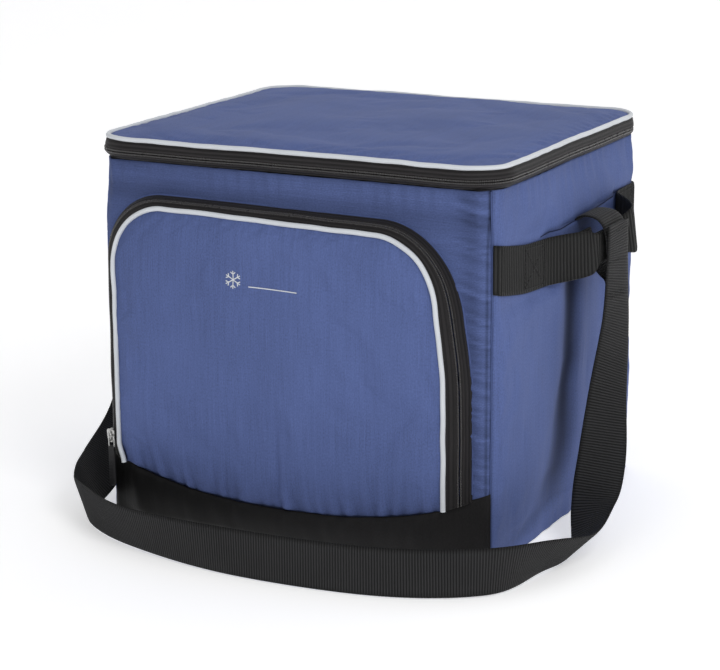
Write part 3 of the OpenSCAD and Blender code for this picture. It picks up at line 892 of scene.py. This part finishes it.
def gusset(g):
    """The zipped edge of the pocket. g is 0 at the piping and 1 on the wall; values may be an array."""
    g = np.atleast_1d(np.asarray(g, float))
    swell = 0.13 * np.sin(np.pi * g)
    xz = PIPING_LINE[:, None] + (ZIP_LINE - PIPING_LINE)[:, None] * (g + swell)[:, None]
    front = -(HY + PK_DEPTH - 0.2)
    back = -(HY + sewn_corner(ZIP_LINE[:, 0], HX) + 1.4)[:, None]
    y = front + (back - front) * (g - swell * 0.9)[None, :]
    y = y + 0.5 * waves(xz, 201, 60) * np.sin(np.pi * g)
    return np.stack([xz[..., 0], y, xz[..., 1]], -1)


def surface_normals(p):
    return unit(np.cross(np.gradient(p, axis=0), np.gradient(p, axis=1)))


FLAP = ("shell", "pocket_flap", (0, 0, (KICK_SEAM - 9) * MM), (0, 0, (KICK_SEAM + 17) * MM))

# The zip in columns, from the wall to the piping: a row of teeth stands on either side of the middle one
MIDDLE = 20
grid = gusset(np.linspace(1, 0, 2 * MIDDLE + 1))
grid_normals = surface_normals(grid)
for half, low, high, column, step, body in (
    ("inner", 0.0, 0.445, MIDDLE + 2, -1, FLAP),
    ("outer", 0.555, 1.0, MIDDLE - 2, 1, "shell"),
):
    g = np.linspace(high, low, 25)
    p = gusset(g)
    off = np.abs(g - 0.5)
    groove = bump(off, 0.125, 0.018) * -0.5 + bump(off, 0.19, 0.04) * 0.25
    p = p + surface_normals(p) * groove[:, None]
    # painted shade of the grooves: dark lines along the tape, beside the teeth and in two rows further out
    lines = 0.5 * bump(off, 0.13, 0.022) + 0.4 * bump(off, 0.27, 0.02) + 0.35 * bump(off, 0.4, 0.03)
    tape = shade(grid_piece(f"pocket_zip_{half}", p), np.broadcast_to(lines, p.shape[:2]))
    place(thick(tape, 0.8), body, TAPE, [f"pocket_zip_tape_{half}"])
    at, out = grid[:, column], grid_normals[:, column]
    teeth_row(
        f"pocket_teeth_{half}", at - out * 0.25, out, unit(grid[:, column + step] - at),
        body, f"pocket_zip_coil_{half}", pitch=1.3, height=0.8,
    )

# Blue fold of wall cloth along the zip's outer edge
rim = gusset([1.0])[:, 0] + surface_normals(gusset(np.linspace(1, 0, 9)))[:, 0] * 0.2
rim[:, 1] += 0.1
rim = rim[rim[:, 2] > KICK_SEAM]
# painted shade: the fold takes the darker, shaded copy of the blue cloth
place(rod("pocket_fold_edge", rim, 0.85 + 0.15 * waves(rim, 205, 40)), "shell", BLUE_SHADED)

# Piping
line = gusset([0.0])[:, 0]
line[:, 1] -= 0.7
line += 0.15 * waves(line, 206, 30)[:, None]
place(rod("pocket_piping_cord", line, PIPE_R + 0.3, 14), FLAP, CORD, ["pocket_piping"])


def kick_top(x):
    """The curved seam between the black band and the panel above it."""
    t = np.abs(x - PK_X - 1) / 150
    return KICK_MIDDLE + 23 * np.minimum(t, 1.0) ** 2.4 + 60 * np.clip(t - 1.0, 0, 0.15)


# The panel: closed outline along the piping and back along the curved seam
bottom = np.linspace(PIPING_LINE[-1, 0], PIPING_LINE[0, 0], 150)[1:-1]
outline = np.concatenate([PIPING_LINE, np.stack([bottom, kick_top(bottom)], -1)])
to_corner = [(PK_LEFT, 40), (PK_RIGHT, 40), (PK_RIGHT, PK_TOP), (PK_LEFT, PK_TOP)]
xz, rho = filled(outline, nearest(outline, to_corner), 66)
half = np.array((PIPING_LINE[:, 0].max() - PIPING_LINE[:, 0].min(), PK_TOP - KICK_MIDDLE)) / 2
edge = (1 - rho) * half.min()
above = xz[..., 1] - kick_top(xz[..., 0])
stand = PK_DEPTH - 0.4 + 5.2 * (1 - np.exp(-edge / 7.0)) + 3.2 * ease(4, 95, edge)
stand -= 2.2 * np.exp(-np.maximum(above, 0) / 9.0)
lean = xz[..., 0] + 0.12 * above * np.sin(xz[..., 0] / 23)
pucker = gathers(lean, 211, 13)
fade = np.exp(-np.maximum(above - 2, 0) / np.clip(16 + 7 * waves(xz[..., :1], 212, 60), 8, 26)) * ease(-1, 3, above)
stand += 3.0 * fade * (pucker - 0.45)
stand += 0.35 * waves(xz * (1, 0.7), 213, 90) + 0.16 * waves(xz * (1, 0.5), 214, 30)
stand += 0.35 * bump(edge, 6, 6) * waves(xz, 215, 14)
panel = planar("pocket_panel_cloth", stack(xz[..., 0], -(HY + stand), xz[..., 1]), (0, 2))
# Painted shade on the pocket's front: in the puckers' valleys along the lower seam, along its edge at the piping,
# and towards the upper left.
dark = 0.3 * fade * (1 - pucker) + 0.16 * np.exp(-edge / 3.0)
dark += 0.16 * ease(PK_X + 40, PK_LEFT + 10, xz[..., 0]) * ease(110, PK_TOP, xz[..., 1])
shade(panel, dark)
puff(panel, np.flatnonzero(rho > 0.975), 0.5, spare=0.012, frames=16, cap=3.0, out=(0, -1, 0), bend=0.4)
place(thick(panel, 0.9), FLAP, BLUE, ["pocket_panel"])

# Lining behind the panel
stand = PK_DEPTH - 4.2 + 1.6 * ease(0, 30, edge) + 0.5 * waves(xz, 217, 60)
lining = planar("pocket_lining_sheet", stack(xz[..., 0], -(HY + stand), xz[..., 1])[::3, ::3], (0, 2))
place(thick(lining, 0.5), FLAP, LINING, ["pocket_lining"])

# The black band under the pocket, bulging with it and flat at the corner seams
xx, vv = np.meshgrid(np.linspace(-HX + 0.6, HX - 2.2, 150), np.linspace(0, 1, 34), indexing="ij")
top = kick_top(xx)
zz = FOOT + top * vv
reach = 1 - ease(128, 160, np.abs(xx - PK_X - 1))
full = 1.2 + (PK_DEPTH - 0.6) * reach
low = 1.2 + (PK_DEPTH - 5.5) * reach
out = low + (full - low) * np.sin(np.clip(vv, 0, 1) * np.pi / 2) ** 0.8 + 1.6 * np.sin(np.pi * vv) * reach
out -= 1.5 * bump(vv, 0, 0.1) * reach + 1.2 * bump(vv, 1, 0.05) * reach
out = np.maximum(out, 1.5)
out += 1.5 * np.exp(-(top - zz) / 10) * (gathers(xx, 211) - 0.4) * reach * ease(1.0, 0.9, vv)
out += 0.5 * waves(stack(xx, zz * 0.6), 221, 55) * ease(0, 0.2, vv) + 0.25 * waves(stack(xx, zz * 0.3), 222, 18)
yy = -(HY + sewn_corner(xx, HX, 8.9)) - np.maximum(out, 0.6)
# Painted shade on the black band, growing towards its left end under the pocket.
kick = shade(grid_piece("kick_band_cloth", stack(xx, yy, zz)), 0.85 * ease(80, -HX, xx) ** 0.7)
place(thick(kick, 0.9), "shell", BLACK, ["kick_band"])


def print_line(a, b, width=0.8):
    """Grid of a printed line, in x and z."""
    count = max(2, int(np.linalg.norm(b - a) / 1.5))
    at = a + (b - a) * np.linspace(0, 1, count)[:, None]
    side = unit((b - a)[::-1] * (-1, 1)) * width / 2
    return np.stack([at - side, at + side], 1)


def on_panel(flat, lift=0.25):
    """Points of x, z laid on the finished panel's front."""
    co = coordinates(panel)
    y = np.empty(flat.shape[:-1])
    for k in np.ndindex(y.shape):
        d = np.hypot(co[:, 0] - flat[k][0], co[:, 2] - flat[k][1])
        close = np.argpartition(d, 6)[:6]
        y[k] = np.average(co[close, 1], weights=1 / (d[close] + 0.3))
    return stack(flat[..., 0], y - lift, flat[..., 1])


# A plain snow crystal, and a rule beside it
MARK = np.array((PK_X - 33.0, PK_TOP - 57.0))
strokes = [(MARK + (13, -4.5), MARK + (56, -4.5))]
for a in math.pi / 6 + circle(6):
    arm, *twigs = [np.array((math.cos(a + turn), math.sin(a + turn))) for turn in (0, -0.9, 0.9)]
    if a < math.pi:
        strokes.append((MARK - 7.0 * arm, MARK + 7.0 * arm))
    strokes += [(MARK + 4.3 * arm, MARK + 4.3 * arm + 2.7 * twig) for twig in twigs]
place(merged("print_mark", [grid_data(on_panel(print_line(a, b))) for a, b in strokes]), FLAP, CORD)


# ---------------------------------------------------------------- webbing


# Webbing in cross-section: along its width and through its thickness
ACROSS = np.array([-1, -0.96, -0.8, -0.4, 0, 0.4, 0.8, 0.96, 1, 0.96, 0.8, 0.4, 0, -0.4, -0.8, -0.96])
THROUGH = np.array([0, 0.75, 1, 1, 1, 1, 1, 0.75, 0, -0.75, -1, -1, -1, -1, -1, -0.75])
SELVEDGE_SHADE = 0.6 * (np.abs(ACROSS) > 0.9)  # its edges get painted shade, which dulls the light they catch


def ribbon(name, c, w, width, thick_mm, pitch, rib, square=1.0):
    """A mesh piece of woven webbing along centre points c, with edge directions w. width and thick_mm may
    vary. square is 1 where it lies straight and 0 where it is pulled askew, and may vary too."""
    run = unit(np.gradient(c, axis=0))
    w = unit(w - np.broadcast_to(square, len(c))[:, None] * (w * run).sum(1)[:, None] * run)
    n = unit(np.cross(run, w))
    ribs = -rib * np.cos(2 * np.pi * distances(c) / pitch)[:, None] * np.where(np.abs(ACROSS) > 0.9, 0.3, 1.0)
    side = ACROSS * np.broadcast_to(width, len(c))[:, None] / 2
    height = THROUGH * np.broadcast_to(thick_mm, len(c))[:, None] / 2 + np.sign(THROUGH) * ribs
    p = c[:, None] + w[:, None] * side[..., None] + n[:, None] * height[..., None]
    # painted shade on the webbing's edges
    return shade(grid_piece(name, p, loop_v=True, caps=True), np.broadcast_to(SELVEDGE_SHADE, p.shape[:2]))


def resample(points, step):
    """Rows of numbers, the first three a place, at even distances."""
    s = distances(points[:, :3])
    return read(np.linspace(0, s[-1], max(3, int(s[-1] / step))), s, points)


def curve(stops, fine=24):
    """Catmull-Rom curve through rows of numbers."""
    stops = np.array(stops, float)
    last = len(stops) - 1
    t = (np.arange(fine) / fine)[:, None]
    out = []
    for i in range(last):
        a, b, c, d = (stops[min(max(i + k, 0), last)] for k in (-1, 0, 1, 2))
        out.append(0.5 * (2 * b + (c - a) * t + (2 * a - 5 * b + 4 * c - d) * t**2 + (3 * b - a - 3 * c + d) * t**3))
    return np.concatenate([*out, stops[-1:]])


# Handle: rows of y, out from the wall plane, middle height, height, thickness
HANDLE = [
    (-143.0, 1.6, 232.4, 37.5, 1.6),
    (-136, 2.1, 230.8, 38, 1.7),
    (-118, 2.3, 227.4, 38, 1.8),
    (-96, 2.4, 223.8, 38, 1.8),
    (-76, 2.5, 221.9, 38, 1.8),
    (-60, 2.8, 221.0, 38, 1.8),
    (-50, 5.0, 221.0, 38, 1.8),
    (-38, 11.0, 221.3, 38, 1.8),
    (-26, 18.5, 221.8, 37.5, 1.9),
    (-16, 24.6, 222.4, 36.0, 2.2),
    (-11, 26.4, 223.2, 31.0, 3.2),
    (-6, 26.6, 224.0, 27.0, 4.0),
    (4, 26.3, 224.4, 25.5, 4.2),
    (20, 26.4, 224.8, 25.5, 4.2),
    (34, 27.8, 226.0, 27.0, 3.9),
    (42, 32.0, 227.6, 32.0, 3.0),
    (50, 35.0, 228.8, 36.5, 2.1),
    (60, 32.0, 229.6, 38, 1.8),
    (72, 24.0, 230.2, 38, 1.8),
    (84, 13.0, 230.6, 38, 1.8),
    (93, 5.4, 230.8, 38, 1.8),
    (101, 2.8, 231.0, 38, 1.8),
    (118, 2.4, 231.2, 38, 1.8),
    (136, 2.1, 231.4, 38, 1.7),
    (143.0, 1.6, 231.4, 37.5, 1.6),
]
HANDLE_CURVE = curve(HANDLE)
FRONT_FREE, REAR_FREE = -57.0, 97.0  # where the sewn ends stop
FREE_REACH = 24.0  # length from each sewn end towards the grip, given with the free part's hold point


def handle_part(name, side, y0, y1, where, nodes=()):
    rows = resample(HANDLE_CURVE, GRIP_RIB / 5)
    rows = rows[(rows[:, 0] >= y0) & (rows[:, 0] <= y1)]
    y, out, z, height, thickness = rows.T
    c = stack(side * (HX + out + sewn_corner(y, HY)), y, z)
    w = stack(side * -0.12 * ease(36, 52, y) * ease(100, 70, y), 0, 1)
    webbing = ribbon(name, c, w, height, thickness, GRIP_RIB, rib=0.3, square=ease(-70, -40, y))
    place(webbing, where, GRIP, nodes)


def box_stitch(name, side, y0, y1, half=15.5):
    """A sewn box with a cross in it on a handle's end."""
    parts = []
    t = np.linspace(0, 1, 30)
    corners = ((y0, -half), (y1, -half), (y1, half), (y0, half))
    for a, b in ((0, 1), (3, 2), (0, 3), (1, 2), (0, 2), (3, 1)):
        (ya, up_a), (yb, up_b) = corners[a], corners[b]
        y = ya + (yb - ya) * t
        out, z, _, thickness = read(y, HANDLE_CURVE[:, 0], HANDLE_CURVE[:, 1:]).T
        line = stack(side * (HX + out + thickness / 2 + 0.2), y, z + up_a + (up_b - up_a) * t)
        parts += stitches(line, (side, 0, 0), length=2.6, gap=0.9, radius=0.32, lift=0.2)
    place(merged(name, parts), "shell", THREAD)


for side, hand in ((1, "right"), (-1, "left")):
    name = f"handle_{hand}"
    for end, sewn, free, inward, z, nodes in (
        ("front", -143 if side > 0 else -134, FRONT_FREE, 1, 222, [f"handle_loop_{hand}"]),
        ("rear", 143, REAR_FREE, -1, 228, []),
    ):
        handle_part(f"{name}_sewn_{end}", side, *sorted((sewn, free)), "shell", [f"handle_end_{end}_{hand}"])
        hold = np.array((side * HX, free, z)) * MM
        where = ("shell", name, tuple(hold), tuple(hold + (0, inward * FREE_REACH * MM, 0)))
        handle_part(f"{name}_free_{end}", side, *sorted((free, STRAP_Y)), where, nodes)
    box_stitch(f"{name}_stitch_front", side, -95, -59)
    box_stitch(f"{name}_stitch_rear", side, 99, 135)

# The strap's ends: webbing folded round each grip and sewn back on itself. Rows of out and height.
STRAP_THICK = 1.7
LOOP = [
    (34.6, 190), (34.6, 196), (34.6, 205), (34.6, 220), (33.8, 233), (31.0, 241.5), (25.6, 246.6), (18.0, 248.4),
    (10.6, 247.6), (5.4, 243.6), (4.2, 237), (6.0, 229), (10.5, 220.5), (16.5, 213), (22.0, 206.5), (27.0, 201.6),
    (31.2, 198), (32.6, 194), (32.6, 190),
]
for side, hand in ((1, "right"), (-1, "left")):
    out, z = resample(curve(LOOP, 12), STRAP_RIB / 4).T
    hidden = ease(232, 204, z)  # narrower where it lies behind the strap
    c = stack(side * (HX + out), STRAP_Y + 2.0 * hidden, z)
    w = stack(side * 0.08 * ease(10, 30, out), 1, 0)
    end = ribbon(f"strap_end_{hand}", c, w, WEB - 0.5 - 6 * hidden, STRAP_THICK, STRAP_RIB, rib=0.26)
    place(end, "strap_loops", WEBBING, [f"strap_loop_{hand}"])

# The shoulder strap: from the right handle down, across the floor in front on its edge, up to the left
STRAP_MID = LOOP_HIGH[0] + STRAP_THICK
LOW = WEB / 2 + 0.4
STRAP = [
    (STRAP_MID, STRAP_Y, HANDLE_Z + 20, 0.06, 1, 0),
    (STRAP_MID, STRAP_Y, HANDLE_Z - 12, 0.08, 1, 0),
    (STRAP_MID + 4.5, 2, 164, 0.2, 1, 0),
    (STRAP_MID + 9, -24, 112, 0.5, 0.9, 0),
    (STRAP_MID + 13, -44, 68, 0.86, 0.55, 0),
    (STRAP_MID + 15, -66, 36, 0.84, 0.14, 0.33),
    (STRAP_MID + 20, -100, 15.3, 0.7, -0.27, 0.66),
    (HX + 46, -147, 18.6, 0.42, -0.28, 0.82),
    (HX + 20, -200, 20, 0.06, -0.06, 1),
    (HX - 55, -234, LOW, 0, 0, 1),
    (0, -243, LOW, 0, -0.04, 1),
    (-HX + 70, -229, LOW, -0.05, -0.28, 0.96),
    (-HX + 10, -197, LOW, -0.1, -0.2, 0.97),
    (-HX - 10, -171, 20.2, -0.25, -0.4, 0.88),
    (-HX - 17, -130, 33, -0.78, -0.3, 0.55),
    (-HX - 24, -72, 66, -0.7, -0.55, 0.5),
    (-STRAP_MID - 6, -22, 140, -0.2, -0.9, 0.35),
    (-STRAP_MID, STRAP_Y, HANDLE_Z - 12, 0, -1, 0),
    (-STRAP_MID, STRAP_Y, HANDLE_Z + 20, 0, -1, 0),
]
rows = resample(curve(STRAP, 40), STRAP_RIB / 4)
strap = ribbon("shoulder_strap_webbing", rows[:, :3], rows[:, 3:], WEB, STRAP_THICK, STRAP_RIB, rib=0.26)
place(strap, "strap", WEBBING, ["shoulder_strap"])
parts = []
for side, run in ((-1, rows[::-1]), (1, rows)):
    run = run[: len(run) // 3]
    for z in (185, 187.5, 212, 236):
        row = run[np.argmin(np.abs(run[:, 2] - z))]
        line = row[:3] + unit(row[3:]) * np.linspace(-16, 16, 40)[:, None] + (side, 0, 0)
        parts += stitches(line, (side, 0, 0), gap=0.7, radius=0.34)
place(merged("strap_stitching", parts), "strap", THREAD)


# ---------------------------------------------------------------- zip sliders and pulls

RING, TAB = 11.0, 34.0  # lengths of a pull's wire ring and tab


def block(centre, axes, size, power=0.3, count=(20, 14), shape=None):
    """A soft-edged block, for merged(). axes are three unit rows (long, wide, out), size its three lengths.
    shape(u) gives the width's share at u, -1 to 1 along the length."""
    u, v = np.meshgrid(circle(count[0]), np.linspace(-np.pi / 2, np.pi / 2, count[1]), indexing="ij")
    a = rounded(np.cos(u), power) * rounded(np.cos(v), power)
    b = rounded(np.sin(u), power) * rounded(np.cos(v), power)
    if shape is not None:
        b = b * shape(a)
    p = stack(a, b, rounded(np.sin(v), power)) * (np.array(size) / 2)
    return grid_data(centre + p @ np.array(axes), loop_u=True)


def slider(name, centre, run, out, body):
    """A zip slider: two plates, the post between them, side rails and the bridge that holds the pull."""
    centre, run, out = np.array((centre, run, out), float)
    wide = np.cross(out, run)
    axes = (run, wide, out)

    def nose(u):
        return 0.80 + 0.20 * np.clip(u * 1.6 + 0.4, -1, 1)

    t = np.linspace(0, np.pi, 17)
    arch = centre + out * 2.3 + run * (np.cos(t) * 3.9)[:, None] + out * (np.sin(t) * 2.3)[:, None]
    parts = [
        block(centre + out * 1.9, axes, (11, 8.4, 1.3), shape=nose),
        block(centre - out * 1.5, axes, (10.6, 8.0, 1.1), shape=nose),
        block(centre + run * 4.4 + out * 0.2, axes, (1.6, 1.0, 3.8), power=0.6),
        *[block(centre + wide * s + out * 1.2 + run * 1.5, axes, (6.4, 0.8, 1.9), power=0.4) for s in (-3.7, 3.7)],
        grid_data(tube(arch, 0.85, 10), loop_v=True, caps=True),
    ]
    place(merged(f"{name}_body", parts), body, METAL, [name])


def pull(name, start, hang, wide, out):
    """Wire ring through the slider's bridge, and a moulded tab with finger ribs hanging from it."""
    start, hang, wide, out = np.array((start, hang, wide, out), float)
    t = circle(48)[:, None]
    reach = RING / 2 - 1.2 + rounded(np.cos(t), 0.55) * (RING / 2 - 0.6)
    line = start + hang * reach + wide * rounded(np.sin(t), 0.55) * 2.5
    ring = grid_piece(f"{name}_wire", tube(line, 0.6, 10, closed=True), loop_u=True, loop_v=True)
    place(ring, name, METAL, [f"{name}_ring"])
    middle = start + hang * (RING - 4.0 + TAB / 2)

    def waist(u):
        return 0.86 + 0.14 * np.abs(u) ** 2 - 0.22 * bump(u, -1.0, 0.25)

    parts = [block(middle, (hang, wide, out), (TAB, 6.4, 2.4), power=0.32, count=(40, 16), shape=waist)]
    for k in range(6):
        at = middle + hang * (TAB * (-0.12 + 0.085 * k))
        for face in (-1.15, 1.15):
            parts.append(block(at + out * face, (wide, hang, out), (4.4, 0.9, 0.7), power=0.5, count=(14, 8)))
    collar = middle - hang * (TAB / 2 - 2.2)
    parts.append(block(collar, (hang, wide, out), (3.4, 5.2, 3.1), power=0.45, count=(18, 12)))
    place(merged(f"{name}_grip", parts), name, RUBBER, [f"{name}_tab"])


slide_y = np.mean(box("lid_slider"), 0)[1]
slider("lid_slider", (-(HX + 7.2), slide_y, ZIP_Z), (0, -1, 0), (-1, 0, 0), "lid_slider")
pin = np.mean(box("lid_pull_ring"), 0)[0]
pull("lid_pull", (pin, slide_y, ZIP_Z), (0, 1, 0), (0, 0, 1), (-1, 0, 0))

# The pocket's slider sits on the zip's left side and turns to the front, so that its pull can swing clear
left_side = grid[::-1][: PK_STEPS // 3, MIDDLE]
row = -1 - int(np.argmin(np.abs(left_side[:, 2] - np.mean(box("pocket_slider"), 0)[2])))
seat, face = grid[row, MIDDLE], grid_normals[row, MIDDLE]
slider("pocket_slider", seat + face * 1.3, (0, 0, 1), (-0.2, -0.98, 0), "pocket_slider")
pull("pocket_pull", seat + (1.1, -5.8, 0), (0, 0, -1), (-1, 0, 0), (0, -1, 0))


# ---------------------------------------------------------------- inside

LINE_HX, LINE_HY = box("liner_tub")[1][0] - 0.2, box("liner_tub")[1][1] - 0.2
LINE_LOW = box("liner_tub")[0][2] + 0.9
LINE_R = 9  # radius of its lower edge
path, normals = ring_path(LINE_HX, LINE_HY, 12, 3.0)
rows = [(0, WALL_TOP - 0.4)] + [(0, z) for z in np.linspace(WALL_TOP - 4, LINE_LOW + LINE_R, 74)]
for a in np.linspace(0, math.pi / 2, 8)[1:]:
    rows.append((LINE_R * (math.cos(a) - 1), LINE_LOW + LINE_R * (1 - math.sin(a))))
p = sweep(path, normals, rows)
inside = 0.9 * np.clip(waves(p, 301, 70) + 0.5 * waves(p * (1, 1, 0.3), 302, 24), 0, 3)
inside *= ease(WALL_TOP - 9, WALL_TOP - 26, p[..., 2]) * ease(LINE_LOW + 1, LINE_LOW + 12, p[..., 2])
p[..., :2] -= normals[:, None] * inside[..., None]
place(thick(grid_piece("liner_walls", p, loop_u=True), 0.5, inward=False), "shell", FOIL, ["liner_tub"])

path, _ = ring_path(LINE_HX - 8.6, LINE_HY - 8.6, 4, 3.0)
xy, rho = filled(path, nearest(path, np.array(CORNERS) * (LINE_HX, LINE_HY)), 36)
height = LINE_LOW + 0.1 + np.clip(0.6 * waves(xy, 303, 80) + 0.3 * waves(xy, 304, 28), 0, 3) * ease(1, 0.9, rho)
bottom = planar("liner_floor", raised(xy, height))
place(thick(bottom, 0.5, inward=False), "shell", FOIL)

# Black binding over the raw edge where wall, foam and liner are sewn together
path, normals = ring_path(HX, HY, 19, 2.5)
out = [-0.2, -0.3, -1.6, -3.6, -5.6, -7.0, -7.6, -7.7, -7.5]
rise = np.array([-1.4, 0.4, 1.2, 1.5, 1.1, 0, -2, -6, -10])
p = sweep(path, normals, stack(out, WALL_TOP + rise))
p[..., 2] += 0.25 * waves(p, 305, 26)
place(thick(grid_piece("rim_binding", p, loop_u=True), 0.5, inward=False), "shell", LINING)
seam = sweep(path, normals, [(-7.9, WALL_TOP - 7.5)])[:, 0]
parts = stitches(seam, -raised(normals, 0), length=3.0, gap=1.2)
place(merged("rim_stitching", parts), "shell", THREAD)

# The lid's lining, turned up at its edge to meet the zip
path, normals = ring_path(HX - 4, HY - 4, LID_R - 9, 2.5)
low = box("lid_liner")[0][2]
xy, rho = filled(path, nearest(path, np.array(CORNERS) * (HX, HY)), 44)
edge = (1 - rho) * HY
height = low + 0.5 - np.clip(0.5 * waves(xy, 311, 70) + 0.35 * waves(xy, 312, 26), -0.3, 1.6) * ease(0, 12, edge)
height += 0.9 * np.exp(-edge / 2.0)
sheet = planar("lid_lining", raised(xy, height)[::-1])
place(thick(sheet, 0.4, inward=False), "lid", FOIL, ["lid_liner"])
rows = np.array([(4.0, TOP - 4.2), (2.2, TOP - 6.4), (-0.6, TOP - 8.0), (-3.0, low + 1.6), (-4.6, low + 1.1)])
skirt = sweep(path, normals, rows + (4, 0))
skirt = skirt + lid_wave(skirt) * ease(-4, 4, rows[:, 0])[:, None]
place(thick(grid_piece("lid_lining_edge", skirt, loop_u=True), 0.5, inward=False), "lid", LINING)

# Cloth strip across the back on which the lid hinges
low, high = box("lid_hinge_tape")
rise = np.array([-6.2, -4.0, -1.6, -0.8, 0, 0.8, 1.6, 4.2, 6.6])
out = np.array([3.6, 5.0, 5.35, 5.4, 5.4, 5.4, 5.35, 5.2, 4.7])
p = stack(-np.linspace(low[0], high[0], 100)[:, None], HY + out, ZIP_Z + rise)
p[..., 1] += 0.18 * waves(p, 321, 24)
hinge = thick(grid_piece("lid_hinge_cloth", p + lid_wave(p)), 0.6)
bend = ("shell", "lid", (0, HY * MM, (ZIP_Z - 1.2) * MM), (0, HY * MM, (ZIP_Z + 1.2) * MM))
place(hinge, bend, BLACK, ["lid_hinge_tape"])


# ---------------------------------------------------------------- CAD nodes that stay

foams = ("base_foam", "front_foam", "back_foam", "side_foam_left", "side_foam_right", "lid_foam")
for node, material in (("base_panel", BLACK), ("base_board", BOARD), *[(foam_node, FOAM) for foam_node in foams]):
    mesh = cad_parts[node].data
    mesh.materials.clear()
    mesh.materials.append(material)


# ---------------------------------------------------------------- floor, light, camera


def light(name, at, aim, size, power):
    data = bpy.data.lights.new(name, "AREA")
    data.shape = "DISK"
    data.size = size
    data.energy = power
    obj = bpy.data.objects.new(name, data)
    bpy.context.scene.collection.objects.link(obj)
    obj.location = at
    obj.rotation_euler = (Vector(aim) - Vector(at)).to_track_quat("-Z", "Y").to_euler()


floor_shader = Shader("pale_floor")
floor_shader.surface(Roughness=0.9, Specular_IOR_Level=0.1)
tone = floor_shader.noise(floor_shader.place(3))
floor_shader.surface(Emission_Color=(1, 1, 1, 1), Emission_Strength=0.36)
floor_shader.surface(Base_Color=floor_shader.shade((0.93, 0.93, 0.94, 1), floor_shader.ramp(tone, 0, 1, 0.99, 1.01)))
a = np.linspace(0, np.pi / 2, 12)[1:]
y = np.concatenate([np.linspace(-3000, 1600, 12), 1600 + 900 * np.sin(a), [2500]])
z = np.concatenate([np.zeros(12), 900 * (1 - np.cos(a)), [4000]])
backdrop = grid_piece("floor", stack(np.linspace(-4000, 4000, 9)[:, None], y, z - 0.2))
backdrop.data.materials.append(floor_shader.material)

world = bpy.data.worlds.new("studio")
world.use_nodes = True
nodes, links = world.node_tree.nodes, world.node_tree.links
sky = nodes["Background"]
sky.inputs["Color"].default_value = (1, 1, 1, 1)
seen = nodes.new("ShaderNodeLightPath")  # white to the camera, softer as light
level = nodes.new("ShaderNodeMapRange")
level.inputs["To Min"].default_value, level.inputs["To Max"].default_value = 0.5, 1.0
links.new(seen.outputs["Is Camera Ray"], level.inputs["Value"])
links.new(level.outputs[0], sky.inputs["Strength"])
bpy.context.scene.world = world
bpy.context.scene.view_settings.view_transform = "Standard"

light("key", (1.5, -1.1, 1.7), (0, 0, 0.15), 1.0, 15)
light("front", (0.5, -2.2, 0.9), (0, 0, 0.15), 1.4, 4.5)
light("top", (0.0, 0.3, 2.2), (0, 0, 0.2), 1.6, 1.0)

# The viewpoint: 27 degrees to the right of the front and 15 above
camera_data = bpy.data.cameras.new("camera")
camera = bpy.data.objects.new("camera", camera_data)
bpy.context.scene.collection.objects.link(camera)
azimuth, elevation, roll = math.radians(27.054), math.radians(14.579), math.radians(-0.364)
flat_reach = math.cos(elevation)
back = Vector((math.sin(azimuth) * flat_reach, -math.cos(azimuth) * flat_reach, math.sin(elevation)))
camera.location = Vector((-0.01503, 0, 0.12932)) + back * 1.9457
camera.rotation_mode = "QUATERNION"
camera.rotation_quaternion = (-back).to_track_quat("-Z", "Y") @ Matrix.Rotation(roll, 3, "Z").to_quaternion()
camera_data.sensor_width = 36
camera_data.lens = 116.8
camera_data.clip_start, camera_data.clip_end = 0.05, 30
bpy.context.scene.camera = camera
